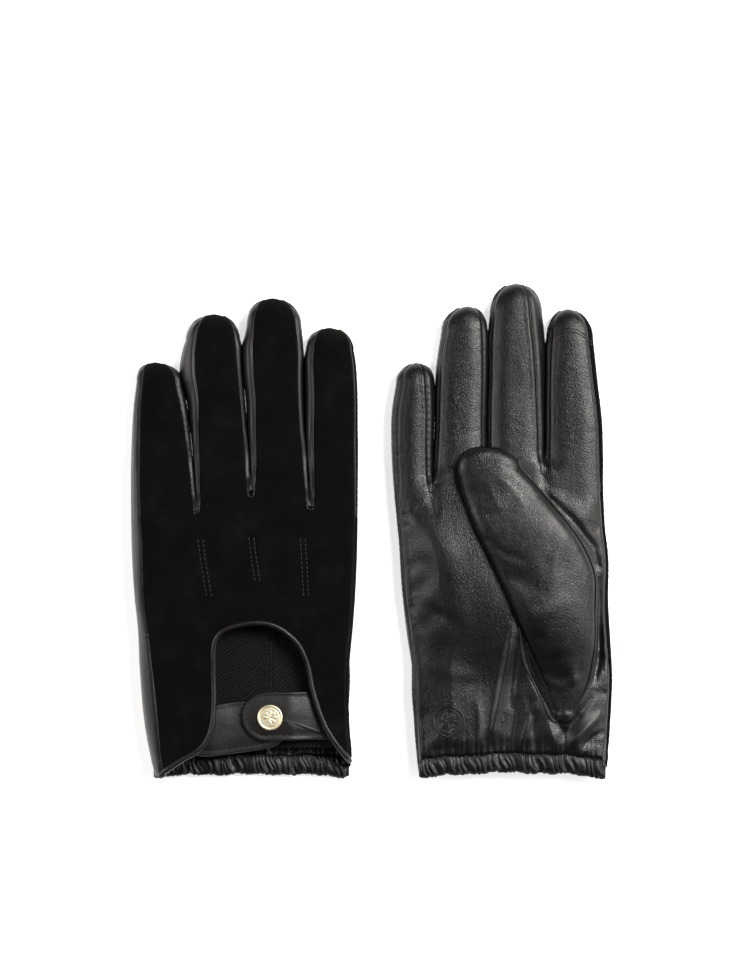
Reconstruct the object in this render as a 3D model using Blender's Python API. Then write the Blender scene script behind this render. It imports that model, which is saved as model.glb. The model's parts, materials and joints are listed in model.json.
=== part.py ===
"""A pair of leather driving gloves lying flat: left glove back up, right glove palm up.

Lengths are millimetres in this file and metres in the scene. +X runs across the pair from the
left glove to the right glove, +Y towards the fingertips, +Z up from the table.
Each glove is cut like a real one: a suede back panel and a leather palm panel, walls between
them (edge strips and fourchettes), a lining, an elasticated hem, a bound keyhole with a snap
strap, four jointed fingers and a thumb.
"""
import math

import bmesh
import bpy

MM = 0.001
PLAN_MIDDLE = (0.45, 0.45)      # middle of the pair's plan, which becomes the origin

# ---- leather and depths -------------------------------------------------------------------
LEATHER = 1.0                   # thickness of the shell leather and of the suede
GAP = 0.3                       # clearance between neighbouring pieces
WALL = 1.0                      # thickness of fourchettes and edge strips
INSET = 1.1                     # from a panel's edge to the middle of the wall under it
FINGER_DEPTH = 13.6             # outside depth of a finger lying on the table
KNUCKLE = FINGER_DEPTH / 2      # radius and height of each finger's hinge
JOINT_GAP = 0.5                 # between a finger's swinging end and its fixed end
THUMB_DEPTH = 6.4
THUMB_LIFT = 7.3                # how far the left palm stands up over the tucked thumb
BACK_RISE = 3.5                 # extra height of the left glove's back over the thumb
CROWN = 3.0                     # extra height in the middle of the hand
WRIST_RISE = 2.6                # room under the right glove's wrist for its snap
LINING = 0.8
LINING_GAP = 0.9                # it hangs a little clear of the palm
LINING_FOOT = -91.0
LINING_TOP = 5.0

# ---- strap and snap -----------------------------------------------------------------------
SNAP_SPACING = 2.8              # from the strap's inner face to the under tab
CAP_RADIUS = 5.9
CAP_HEIGHT = 2.0
STUD_RADIUS = 2.0
SOCKET_BORE = 2.6
SOCKET_RADIUS = 4.3

CELL = 7.0                      # grid of the shaped panels
TURNED_SIDES = 20
TIP_STEPS = 8

# Two real hands' gloves differ a little as they lie. A finger has its hinge line, the edges at
# that line, the edges where its tip starts to round, and the top of its tip.
LEFT = {
    "up": "back",
    "shift": (0.0, 0.0),
    "fingers": {
        "little": (38.0, (-111.8, -86.6), 70.0, (-110.0, -90.2), (-101.0, 79.0)),
        "ring": (49.0, (-85.4, -59.2), 92.0, (-85.6, -62.2), (-73.0, 101.6)),
        "middle": (50.0, (-58.2, -32.0), 99.0, (-59.0, -32.8), (-46.1, 109.0)),
        "index": (46.0, (-31.0, -6.2), 86.0, (-31.0, -8.6), (-19.2, 95.2)),
    },
    "forks": [(-81.4, 10.2), (-55.8, 19.9), (-28.2, 12.4)],
    "little_edge": [(-101.6, -112.0), (-105.5, -94.0), (-108.4, -64.0), (-110.7, -32.0),
                    (-112.6, 7.0)],
    "index_edge": [(-9.0, -106.0), (-10.1, -75.0), (-9.6, -55.0), (-7.3, -32.0), (-5.9, 7.0)],
    "wrist": [(-12.0, -114.8), (-97.8, -115.1)],
    "thumb_shift": (-118.9, -8.0),
    "touch_seam": 80.0,
}
RIGHT = {
    "up": "palm",
    "shift": (123.0, 0.0),
    "fingers": {
        "little": (38.0, (10.3, 29.0), 69.0, (12.6, 29.3), (22.4, 78.9)),
        "ring": (49.0, (30.6, 53.6), 95.0, (33.4, 54.4), (45.4, 105.3)),
        "middle": (50.0, (55.2, 80.0), 104.0, (56.2, 80.6), (68.8, 116.0)),
        "index": (46.0, (81.6, 108.6), 92.0, (82.4, 104.8), (92.8, 103.9)),
    },
    "forks": [(28.8, 20.1), (54.2, 31.0), (81.2, 29.5)],
    "little_edge": [(22.2, -111.0), (20.6, -85.0), (19.0, -60.0), (15.2, -32.0), (11.0, 18.0)],
    "index_edge": [(111.2, -111.0), (113.4, -78.0), (112.6, -49.0), (111.6, -15.0),
                   (109.3, 18.0)],
    "wrist": [(108.6, -114.4), (100.6, -112.0), (43.6, -111.6), (24.8, -115.1)],
    "thumb_shift": (0.0, 0.0),
    "touch_seam": 89.0,
}

# Thumb in the right glove's place, from the top of its base seam round the tip to the wrist
THUMB_OUTLINE = [
    (104.6, -37.8), (104.1, -16.8), (100.1, -7.2), (91.6, 5.3), (83.1, 15.5), (74.6, 25.1),
    (66.1, 34.2), (60.0, 38.6), (53.6, 39.9), (45.6, 37.8), (40.6, 32.0), (41.1, 24.6),
    (45.1, 11.0), (50.8, -3.7), (57.6, -18.0), (67.2, -37.8), (76.0, -59.0), (86.6, -83.0),
    (95.5, -83.0), (102.1, -70.9), (104.3, -57.1),
]
THUMB_WALL = slice(1, 18)       # the stretch of that outline which has a side wall
THUMB_STALL = slice(4, 16)      # the stretch that has an inner face too
THUMB_HINGE = (105.5, -48.0)
THUMB_HOLE = (86.0, -58.0, 100.0, -30.0)

# Keyhole in the left glove's place, from the little finger side round the top to the thumb side
KEYHOLE = [
    (-95.4, -111.2), (-79.6, -101.0), (-73.6, -86.0), (-73.4, -62.0), (-72.8, -51.6),
    (-66.0, -44.6), (-53.3, -42.2), (-40.6, -46.0), (-32.3, -53.8), (-28.5, -65.5),
    (-26.1, -77.1), (-20.7, -91.1), (-13.6, -101.8),
]
SNAP_CENTRE = (-46.9, -86.4)
STRAP_HINGE = (-28.6, -86.0)
STRAP_END = -59.9
STRAP_TOP = -75.4
STRAP_FOOT = -97.2
UNDER_TAB = [(-84.0, -84.5), (-69.6, -80.2), (-44.5, -79.0), (-40.5, -83.0), (-40.5, -95.5),
             (-44.0, -100.0), (-79.7, -104.6), (-84.0, -101.0)]

SUEDE = ((0.013, 0.012, 0.012), 0.95, 0.0)
SMOOTH_LEATHER = ((0.022, 0.019, 0.018), 0.45, 0.0)
LINING_CLOTH = ((0.02, 0.019, 0.019), 0.9, 0.0)
RUBBER = ((0.05, 0.05, 0.05), 0.7, 0.0)
GILT = ((0.78, 0.58, 0.25), 0.25, 1.0)


# ---- small helpers ------------------------------------------------------------------------
def smooth_step(value):
    value = min(max(value, 0.0), 1.0)
    return value * value * (3.0 - 2.0 * value)


def moved(points, shift):
    return [(x + shift[0], y + shift[1]) for x, y in points]


def stepped(path):
    """The open path with a point added wherever it crosses a line of the panels' grid."""
    result = [path[0]]
    for (ax, ay), (bx, by) in zip(path, path[1:]):
        lines = range(math.ceil(min(ay, by) / CELL), math.floor(max(ay, by) / CELL) + 1)
        crossed = sorted((abs(CELL * line - ay) / abs(by - ay) for line in lines) if ay != by else ())
        result += [(ax + (bx - ax) * share, ay + (by - ay) * share)
                   for share in crossed if 0.02 < share < 0.98]
        result.append((bx, by))
    return result


def offset_path(path, distance):
    """The open path moved to its left by a distance."""
    result = []
    for index, (x, y) in enumerate(path):
        before = path[max(index - 1, 0)]
        after = path[min(index + 1, len(path) - 1)]
        dx, dy = after[0] - before[0], after[1] - before[1]
        length = math.hypot(dx, dy)
        result.append((x - dy / length * distance, y + dx / length * distance))
    return result


def ellipse_tip(left, right, start, top):
    """Points over a fingertip from its left edge to its right edge."""
    middle = (left + right) / 2
    points = []
    for step in range(1, TIP_STEPS):
        angle = math.pi * (1.0 - step / TIP_STEPS)
        lean = (top[0] - middle) * math.sin(angle)
        points.append((middle + (right - left) / 2 * math.cos(angle) + lean,
                       start + (top[1] - start) * math.sin(angle)))
    return points


# ---- building blocks ----------------------------------------------------------------------
def slab(outline, low, high):
    """Flat sheet: a plan outline between two heights."""
    count = len(outline)
    points = [(x, y, low) for x, y in outline] + [(x, y, high) for x, y in outline]
    faces = [tuple(range(count)), tuple(range(count, 2 * count))]
    faces += [(i, (i + 1) % count, (i + 1) % count + count, i + count) for i in range(count)]
    return points, faces


def ribbon(path, thickness, low, high):
    """Upright wall along an open path, its heights given by functions of the place."""
    sides = (offset_path(path, thickness / 2), offset_path(path, -thickness / 2))
    points = []
    for left, right, middle in zip(*sides, path):
        floor, ceiling = low(*middle), high(*middle)
        points += [(*left, floor), (*right, floor), (*right, ceiling), (*left, ceiling)]
    last = 4 * (len(path) - 1)
    faces = [(0, 1, 2, 3), (last, last + 3, last + 2, last + 1)]
    for step in range(0, last, 4):
        faces += [(step + side, step + 4 + side, step + 4 + (side + 1) % 4,
                   step + (side + 1) % 4) for side in range(4)]
    return points, faces


def turned(profile, centre, face, outward):
    """Solid of revolution about +Z: (radius, height off the face) pairs."""
    rings, points, faces = [], [], []
    for radius, height in profile:
        sides = 1 if radius == 0 else TURNED_SIDES
        ring = []
        for side in range(sides):
            angle = 2 * math.pi * side / TURNED_SIDES
            ring.append(len(points))
            points.append((centre[0] + radius * math.cos(angle),
                           centre[1] + radius * math.sin(angle), face + outward * height))
        rings.append(ring)
    open_profile = len(rings[0]) == 1
    pairs = list(zip(rings, rings[1:])) if open_profile else list(zip(rings, rings[1:] + rings[:1]))
    for first, second in pairs:
        for side in range(TURNED_SIDES):
            after = (side + 1) % TURNED_SIDES
            corners = [first[side % len(first)], first[after % len(first)],
                       second[after % len(second)], second[side % len(second)]]
            faces.append(tuple(dict.fromkeys(corners)))
    return points, faces


def panel(outline, low, thickness, hole=None):
    """Shaped sheet: a plan outline cut into a grid, each point at its own height."""
    mesh = bmesh.new()
    mesh.faces.new([mesh.verts.new((x, y, 0.0)) for x, y in outline])
    for axis in (0, 1):
        values = [point[axis] for point in outline]
        first = math.floor(min(values) / CELL) + 1
        cuts = [CELL * step for step in range(first, math.ceil(max(values) / CELL))]
        if hole:
            cuts += [hole[axis], hole[axis + 2]]
        for cut in cuts:
            bmesh.ops.bisect_plane(
                mesh, geom=mesh.verts[:] + mesh.edges[:] + mesh.faces[:], dist=1e-4,
                plane_co=(cut, cut, 0), plane_no=(1 - axis, axis, 0))
    if hole:
        inner = [face for face in mesh.faces
                 if hole[0] < face.calc_center_median().x < hole[2]
                 and hole[1] < face.calc_center_median().y < hole[3]]
        bmesh.ops.delete(mesh, geom=inner, context="FACES")
    bmesh.ops.triangulate(mesh, faces=mesh.faces[:])
    lower = mesh.verts[:]
    made = bmesh.ops.extrude_face_region(mesh, geom=mesh.faces[:], use_keep_orig=True)
    for vertex in lower:
        vertex.co.z = low(vertex.co.x, vertex.co.y)
    for vertex in (item for item in made["geom"] if isinstance(item, bmesh.types.BMVert)):
        vertex.co.z = low(vertex.co.x, vertex.co.y) + thickness
    points = [tuple(vertex.co) for vertex in mesh.verts]
    mesh.verts.index_update()
    faces = [tuple(vertex.index for vertex in face.verts) for face in mesh.faces]
    mesh.free()
    return points, faces


def hinge_frame(name, place, parent=None):
    """Empty on a joint's axis, which carries that joint's pieces."""
    empty = bpy.data.objects.new(name, None)
    empty["place"] = place
    bpy.context.collection.objects.link(empty)
    base = (0.0, 0.0, 0.0)
    if parent:
        empty.parent = parent
        base = parent["place"]
    empty.location = [(value - start) * MM for value, start in zip(place, base)]
    return empty


def piece(name, shape, carrier, look):
    """Named object on its carrier, with its own material."""
    place = carrier["place"]
    points, faces = shape
    mesh = bpy.data.meshes.new(name)
    local = [[(value - start) * MM for value, start in zip(point, place)] for point in points]
    mesh.from_pydata(local, [], faces)
    work = bmesh.new()
    work.from_mesh(mesh)
    bmesh.ops.recalc_face_normals(work, faces=work.faces[:])
    work.to_mesh(mesh)
    work.free()
    colour, roughness, metallic = look
    material = bpy.data.materials.new(name)
    material.use_nodes = True
    shader = material.node_tree.nodes["Principled BSDF"]
    shader.inputs["Base Color"].default_value = (*colour, 1.0)
    shader.inputs["Roughness"].default_value = roughness
    shader.inputs["Metallic"].default_value = metallic
    mesh.materials.append(material)
    body = bpy.data.objects.new(name, mesh)
    bpy.context.collection.objects.link(body)
    body.parent = carrier
    return body


def wrap_edge(sheet, wall, carrier):
    """Fuse a panel with the wall where its leather wraps round the glove's edge."""
    guide = piece(f"{sheet.name}_wrap", wall, carrier, SMOOTH_LEATHER)
    guide.hide_render = True
    guide.display_type = "WIRE"
    fused = sheet.modifiers.new("wrap", "BOOLEAN")
    fused.operation = "UNION"
    fused.solver = "EXACT"
    fused.object = guide


# ---- heights of a glove's two skins ---------------------------------------------------------
def hand_crown(glove, x, y):
    middle = (glove["little_edge"][-1][0] + glove["index_edge"][-1][0]) / 2
    across = max(1.0 - ((x - middle) / 46.0) ** 2, 0.0)
    along = max(1.0 - ((y + 25.0) / 42.0) ** 2, 0.0)
    return CROWN * smooth_step(across) * smooth_step(along)


def skin_heights(glove):
    """Functions for the lowest face and the highest face of a glove's hand."""
    if glove["up"] == "palm":
        def low(x, y):
            return WRIST_RISE * smooth_step((-40.0 - y) / 26.0)

        def high(x, y):
            return FINGER_DEPTH + hand_crown(glove, x, y)
    else:
        def low(x, y):
            along = smooth_step((47.0 - y) / 14.0) * smooth_step((y + 102.0) / 8.0)
            return THUMB_LIFT * along * smooth_step((x + 100.0) / 18.0)

        def high(x, y):
            rise = smooth_step((44.0 - y) / 16.0)
            return FINGER_DEPTH + BACK_RISE * rise + hand_crown(glove, x, y)
    return low, high


# ---- plan outlines ------------------------------------------------------------------------
def fixed_end(finger):
    return finger[0] - KNUCKLE - JOINT_GAP


def hand_outline(glove, keyhole):
    """Counter-clockwise round the hand and the finger roots, with or without the keyhole."""
    outline = []
    if keyhole:
        outline += [glove["little_edge"][0]]
        outline += moved(KEYHOLE, glove["shift"])
    else:
        outline += [glove["little_edge"][0], *reversed(glove["wrist"])]
    outline += glove["index_edge"]
    roots = list(reversed(glove["fingers"].values()))
    forks = list(reversed(glove["forks"]))
    for index, finger in enumerate(roots):
        left, right = finger[1]
        outline += [(right, fixed_end(finger)), (left, fixed_end(finger))]
        if index < len(forks):
            x, y = forks[index]
            outline += [(x + 0.7, y), (x - 0.7, y)]
    return outline + list(reversed(glove["little_edge"][1:]))


def finger_outline(finger):
    """Clockwise round the moving part of a finger, from its hinge line."""
    line, near, start, far, top = finger
    tip = ellipse_tip(far[0], far[1], start, top)
    return [(near[0], line), (far[0], start), *tip, (far[1], start), (near[1], line)]


# ---- the glove ------------------------------------------------------------------------------
def make_finger(side, name, glove, carrier_of_hand):
    finger = glove["fingers"][name]
    line, near = finger[0], finger[1]
    carrier = hinge_frame(f"{side}_{name}_joint", ((near[0] + near[1]) / 2, line, KNUCKLE),
                          carrier_of_hand)
    outline = finger_outline(finger)
    lower, upper = (0.0, LEATHER), (FINGER_DEPTH - LEATHER, FINGER_DEPTH)
    back, palm = (lower, upper) if glove["up"] == "palm" else (upper, lower)
    piece(f"{side}_{name}_back", slab(outline, *back), carrier, SUEDE)

    palm_outline = outline
    if name == "index":
        seam = glove["touch_seam"]
        share = (seam - line) / (finger[2] - line)
        edges = [start + (end - start) * share for start, end in zip(near, finger[3])]
        palm_outline = [outline[0], (edges[0], seam - GAP), (edges[1], seam - GAP), outline[-1]]
        tip_outline = [(edges[0], seam), *outline[1:-1], (edges[1], seam)]
        piece(f"{side}_index_touch_tip", slab(tip_outline, *palm), carrier, SMOOTH_LEATHER)
    piece(f"{side}_{name}_palm", slab(palm_outline, *palm), carrier, SMOOTH_LEATHER)

    reach = KNUCKLE - LEATHER - GAP
    path = [(near[0], line - 0.85 * reach), (near[0], line - 0.5 * reach), *outline,
            (near[1], line - 0.5 * reach), (near[1], line - 0.85 * reach)]

    def half_height(y):
        return math.sqrt(reach ** 2 - min(y - line, 0.0) ** 2)

    wall = ribbon(offset_path(path, -INSET), WALL, lambda x, y: KNUCKLE - half_height(y),
                  lambda x, y: KNUCKLE + half_height(y))
    piece(f"{side}_{name}_fourchette", wall, carrier, SMOOTH_LEATHER)


def make_thumb(side, glove, palm_top, carrier_of_hand):
    outline = moved(THUMB_OUTLINE, glove["thumb_shift"])
    (hinge_x, hinge_y), = moved([THUMB_HINGE], glove["thumb_shift"])
    if glove["up"] == "palm":
        near_palm = palm_top + GAP
        outward = 1.0
    else:
        near_palm = THUMB_DEPTH
        outward = -1.0
    carrier = hinge_frame(f"{side}_thumb_joint", (hinge_x, hinge_y, near_palm), carrier_of_hand)
    far = near_palm + outward * THUMB_DEPTH
    front = sorted((far, far - outward * LEATHER))
    back = sorted((near_palm, near_palm + outward * LEATHER))
    inside = sorted((near_palm + outward * (LEATHER + GAP), far - outward * (LEATHER + GAP)))
    piece(f"{side}_thumb_front", slab(outline, *front), carrier, SMOOTH_LEATHER)
    piece(f"{side}_thumb_back", slab(outline[THUMB_STALL], *back), carrier, SMOOTH_LEATHER)
    wall = ribbon(offset_path(outline[THUMB_WALL], INSET), WALL, lambda x, y: inside[0],
                  lambda x, y: inside[1])
    piece(f"{side}_thumb_gusset", wall, carrier, SMOOTH_LEATHER)


def make_strap(side, glove, face, outward, hand):
    """Snap strap: face is the outer face of the back panel at the wrist."""
    shift = glove["shift"]
    (hinge_x, hinge_y), centre = moved([STRAP_HINGE, SNAP_CENTRE], shift)
    carrier = hinge_frame(f"{side}_strap_joint", (hinge_x, hinge_y, face), hand)
    half = (STRAP_TOP - STRAP_FOOT) / 2
    middle = (STRAP_TOP + STRAP_FOOT) / 2
    end = STRAP_END + shift[0]
    outline = [(hinge_x - 0.8, STRAP_TOP + 1.0), (hinge_x - 0.8, STRAP_FOOT - 0.3)]
    for step in range(TIP_STEPS + 1):
        angle = math.pi * (1.5 - step / TIP_STEPS)
        outline.append((end + half + half * math.cos(angle), middle + half * math.sin(angle)))
    inner = face - outward * LEATHER
    piece(f"{side}_strap_tab", slab(outline, *sorted((face, inner))), carrier, SMOOTH_LEATHER)
    cap = [(0, GAP), (CAP_RADIUS, GAP), (CAP_RADIUS, GAP + 0.9), (CAP_RADIUS - 0.9, CAP_HEIGHT),
           (0, CAP_HEIGHT + GAP)]
    piece(f"{side}_snap_cap", turned(cap, centre, face, outward), carrier, GILT)
    ring = [(SOCKET_BORE, -GAP), (SOCKET_RADIUS, -GAP), (SOCKET_RADIUS, -1.6),
            (SOCKET_BORE, -1.6)]
    piece(f"{side}_snap_socket", turned(ring, centre, inner, outward), carrier, GILT)

    tab_face = inner - outward * SNAP_SPACING

    def tab_low(x, y):
        sewn = smooth_step((-66.0 + shift[0] - x) / 14.0)
        place = tab_face + outward * (SNAP_SPACING - GAP) * sewn
        return place - (LEATHER if outward > 0 else 0.0)

    tab = panel(moved(UNDER_TAB, shift), tab_low, LEATHER)
    piece(f"{side}_under_tab", tab, hand, SMOOTH_LEATHER)
    stud = [(0, GAP), (4.0, GAP), (4.0, GAP + 0.5), (STUD_RADIUS, GAP + 0.5),
            (STUD_RADIUS, 2.2), (0, 2.3)]
    piece(f"{side}_snap_stud", turned(stud, centre, tab_face, outward), hand, GILT)


def make_hem(side, glove, palm_inner, inward, hand):
    """Elasticated hem inside the palm's wrist edge: an elastic and the casing over it."""
    left, right = glove["little_edge"][0][0] + 6.0, glove["index_edge"][0][0] - 6.0
    layers = (("hem_elastic", -110.4, -106.2, RUBBER), ("hem_casing", -111.2, -105.2, SMOOTH_LEATHER))
    for number, (name, foot, top, look) in enumerate(layers):
        strip = [(left, foot), (right, foot), (right, top), (left, top)]
        away = GAP + number * (LINING + GAP) + (LINING if inward < 0 else 0.0)

        def layer_low(x, y, away=away):
            return palm_inner(x, y) + inward * away

        piece(f"{side}_{name}", panel(strip, layer_low, LINING), hand, look)


def make_glove(side, glove, parent=None):
    low, high = skin_heights(glove)
    palm_up = glove["up"] == "palm"
    middle = (glove["forks"][1][0], -40.0, 0.0)
    hand = hinge_frame(f"{side}_hand", middle, parent)
    shift_x, shift_y = glove["thumb_shift"]
    hole = (THUMB_HOLE[0] + shift_x, THUMB_HOLE[1] + shift_y,
            THUMB_HOLE[2] + shift_x, THUMB_HOLE[3] + shift_y)

    def upper(x, y):
        return high(x, y) - LEATHER

    back_shape = panel(hand_outline(glove, True), low if palm_up else upper, LEATHER)
    palm_shape = panel(hand_outline(glove, False), upper if palm_up else low, LEATHER, hole)
    back = piece(f"{side}_back_panel", back_shape, hand, SUEDE)
    palm = piece(f"{side}_palm_panel", palm_shape, hand, SMOOTH_LEATHER)

    def wall_low(x, y):
        return low(x, y) + LEATHER + GAP

    def wall_high(x, y):
        return high(x, y) - LEATHER - GAP

    def from_low_sheet(x, y):
        return low(x, y) + LEATHER / 2

    def to_high_sheet(x, y):
        return high(x, y) - LEATHER / 2

    fingers = list(glove["fingers"].values())
    little_path = [*glove["little_edge"], (fingers[0][1][0], fixed_end(fingers[0]))]
    index_path = [*glove["index_edge"], (fingers[-1][1][1], fixed_end(fingers[-1]))]
    for sheet, path, inset in ((palm, little_path, -INSET), (back, index_path, INSET)):
        is_upper = (sheet is palm) == palm_up
        heights = (wall_low, to_high_sheet) if is_upper else (from_low_sheet, wall_high)
        wrap_edge(sheet, ribbon(stepped(offset_path(path, inset)), WALL, *heights), hand)
    names = list(glove["fingers"])
    for number, (x, y) in enumerate(glove["forks"]):
        before, after = fingers[number], fingers[number + 1]
        path = [(before[1][1] - INSET, fixed_end(before)), (x - 2.0, y + 1.0), (x, y - 1.6),
                (x + 2.0, y + 1.0), (after[1][0] + INSET, fixed_end(after))]
        fork = f"{side}_fork_{names[number]}_{names[number + 1]}"
        piece(fork, ribbon(stepped(path), WALL, wall_low, wall_high), hand, SMOOTH_LEATHER)

    first, last = glove["little_edge"], glove["index_edge"]
    cloth = [(first[0][0] + 6.0, LINING_FOOT), (last[0][0] - 6.0, LINING_FOOT),
             (last[-1][0] - 7.0, LINING_TOP), (first[-1][0] + 7.0, LINING_TOP)]

    def lining_low(x, y):
        if palm_up:
            return high(x, y) - LEATHER - LINING_GAP - LINING
        return low(x, y) + LEATHER + LINING_GAP

    piece(f"{side}_lining", panel(cloth, lining_low, LINING, hole), hand, LINING_CLOTH)

    outward = -1.0 if palm_up else 1.0
    face = WRIST_RISE if palm_up else FINGER_DEPTH + BACK_RISE
    rim = stepped(offset_path(moved(KEYHOLE, glove["shift"]), -INSET))
    floor = low if palm_up else upper
    binding = ribbon(rim, 1.5, floor, lambda x, y: floor(x, y) + LEATHER)
    piece(f"{side}_keyhole_binding", binding, hand, SMOOTH_LEATHER)
    make_hem(side, glove, upper if palm_up else lambda x, y: low(x, y) + LEATHER, outward, hand)
    make_strap(side, glove, face, outward, hand)
    make_thumb(side, glove, FINGER_DEPTH + CROWN, hand)
    for name in glove["fingers"]:
        make_finger(side, name, glove, hand)
    return hand


def build():
    for old in list(bpy.data.objects):
        bpy.data.objects.remove(old, do_unlink=True)
    pair = hinge_frame("pair", (0.0, 0.0, 0.0))
    left = make_glove("left", LEFT, pair)
    make_glove("right", RIGHT, left)
    pair.location = (-PLAN_MIDDLE[0] * MM, -PLAN_MIDDLE[1] * MM, 0.0)


build()
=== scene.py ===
"""Leather driving gloves: the looks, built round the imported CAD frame.

Lengths are millimetres until a mesh is made. Each glove's shell is one grid of rows and columns
that follows the fingers, with its seams on columns of their own. The grid is relaxed by a cloth
simulation, gets its folds and puckers, and is then cut into the pieces a glove is sewn from.
"""

import json
import math

import bmesh
import bpy
import numpy as np
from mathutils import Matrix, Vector, noise


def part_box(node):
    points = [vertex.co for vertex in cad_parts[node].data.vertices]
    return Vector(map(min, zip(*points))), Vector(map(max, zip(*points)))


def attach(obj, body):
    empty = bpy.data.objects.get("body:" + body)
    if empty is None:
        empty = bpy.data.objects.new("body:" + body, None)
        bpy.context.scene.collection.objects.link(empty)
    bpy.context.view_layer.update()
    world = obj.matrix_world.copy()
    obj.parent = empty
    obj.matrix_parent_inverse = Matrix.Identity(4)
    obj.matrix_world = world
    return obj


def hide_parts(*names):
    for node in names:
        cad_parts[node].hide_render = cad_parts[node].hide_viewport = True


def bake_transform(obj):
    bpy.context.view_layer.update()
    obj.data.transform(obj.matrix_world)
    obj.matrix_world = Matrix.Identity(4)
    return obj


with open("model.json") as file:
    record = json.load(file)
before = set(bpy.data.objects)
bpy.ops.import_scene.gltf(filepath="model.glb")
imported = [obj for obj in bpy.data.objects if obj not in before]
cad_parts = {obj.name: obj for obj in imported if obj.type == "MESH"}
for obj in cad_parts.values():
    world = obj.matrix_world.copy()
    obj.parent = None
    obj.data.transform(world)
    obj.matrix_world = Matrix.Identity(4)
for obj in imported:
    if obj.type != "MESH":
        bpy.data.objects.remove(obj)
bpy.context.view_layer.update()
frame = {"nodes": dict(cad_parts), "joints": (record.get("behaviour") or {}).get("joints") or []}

MM = 0.001
ORIGIN = np.array([0.45, 0.45, 0.0])    # the plan's numbers are measured from this point
FINGERS = ("little", "ring", "middle", "index")
EDGE, FORK, STRIP = 6, 6, 24            # columns in an edge strip, half a fourchette, a finger
HAND_ROWS, FINGER_ROWS, TIP_ROWS = 104, 62, 14

# ---- where each glove lies ---------------------------------------------------------------------
# A finger: stations (y, left edge, right edge) from its roots, where its tip starts to round, the
# top of its tip, and "shown": for its left and its right side, stations (y, width) of the
# fourchette or edge leather that shows. "hem_pleats" are the pitch and the phase of the gathers.
# The shifts move the thumb and the keyhole from the glove that they are drawn on to the other.
LEFT = {
    "side": "left", "palm_up": False,
    "fingers": {
        "little": {"stations": [(8, -112.5, -81.2), (22, -112.6, -82.3), (37, -112.4, -83.8),
                                (49, -112.0, -85.2), (61, -111.2, -86.8), (72, -109.8, -88.4)],
                   "round": 70.0, "tip": (-101.2, 79.2),
                   "shown": ([(8, 4.6), (70, 2.9)], [(8, 1.0), (50, 1.6), (70, 2.6)])},
        "ring": {"stations": [(12, -81.2, -56.0), (37, -83.4, -57.2), (49, -84.9, -58.2),
                              (61, -86.6, -59.0), (73, -89.8, -60.0), (85, -88.4, -61.2),
                              (94, -85.4, -62.2)],
                 "round": 90.0, "tip": (-73.6, 101.8),
                 "shown": ([(12, 1.3), (46, 3.4), (60, 5.4), (73, 7.4), (86, 5.6), (94, 4.0)],
                           [(12, 1.0), (90, 1.5)])},
        "middle": {"stations": [(20, -55.6, -28.6), (32, -56.3, -29.8), (46, -57.6, -30.9),
                                (61, -58.7, -31.5), (73, -59.9, -31.8), (87, -60.0, -31.9),
                                (100, -57.6, -33.0)],
                   "round": 97.0, "tip": (-46.1, 109.3),
                   "shown": ([(20, 1.3), (45, 3.4), (70, 4.7), (86, 4.6), (100, 2.6)],
                             [(20, 1.2), (97, 1.9)])},
        "index": {"stations": [(12, -28.0, -5.9), (27, -29.2, -6.0), (42, -30.4, -6.1),
                               (56, -31.1, -6.1), (70, -31.4, -6.3), (80, -31.2, -7.0),
                               (88, -30.0, -8.6)],
                  "round": 85.0, "tip": (-19.4, 95.4),
                  "shown": ([(12, 1.2), (40, 3.2), (65, 4.4), (88, 3.4)],
                            [(12, 0.8), (88, 0.9)])},
    },
    "forks": [(-81.4, 10.2), (-55.8, 19.9), (-28.2, 12.4)],
    "roots": (6.0, 6.0),
    "left_edge": [(-114.5, -101.0), (-105, -103.4), (-94, -105.5), (-66, -108.3), (-44, -109.4),
                  (-32, -110.7), (-10, -112.1), (8, -112.5)],
    "right_edge": [(-114.5, -10.2), (-105, -8.9), (-94, -9.6), (-83, -10.2), (-66, -10.1),
                   (-44, -8.2), (-32, -7.3), (-10, -6.3), (12, -5.9)],
    "left_seam": [(-112, 4.8), (-85, 6.9), (-35, 4.6), (-4, 5.2), (8, 4.6)],
    "right_seam": [(-112, 0.9), (12, 0.8)],
    "thumb_shift": (-118.9, -8.0),
    "keyhole_shift": 0.0,
    "hem_pleats": (3.3, 15.0),
}
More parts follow.
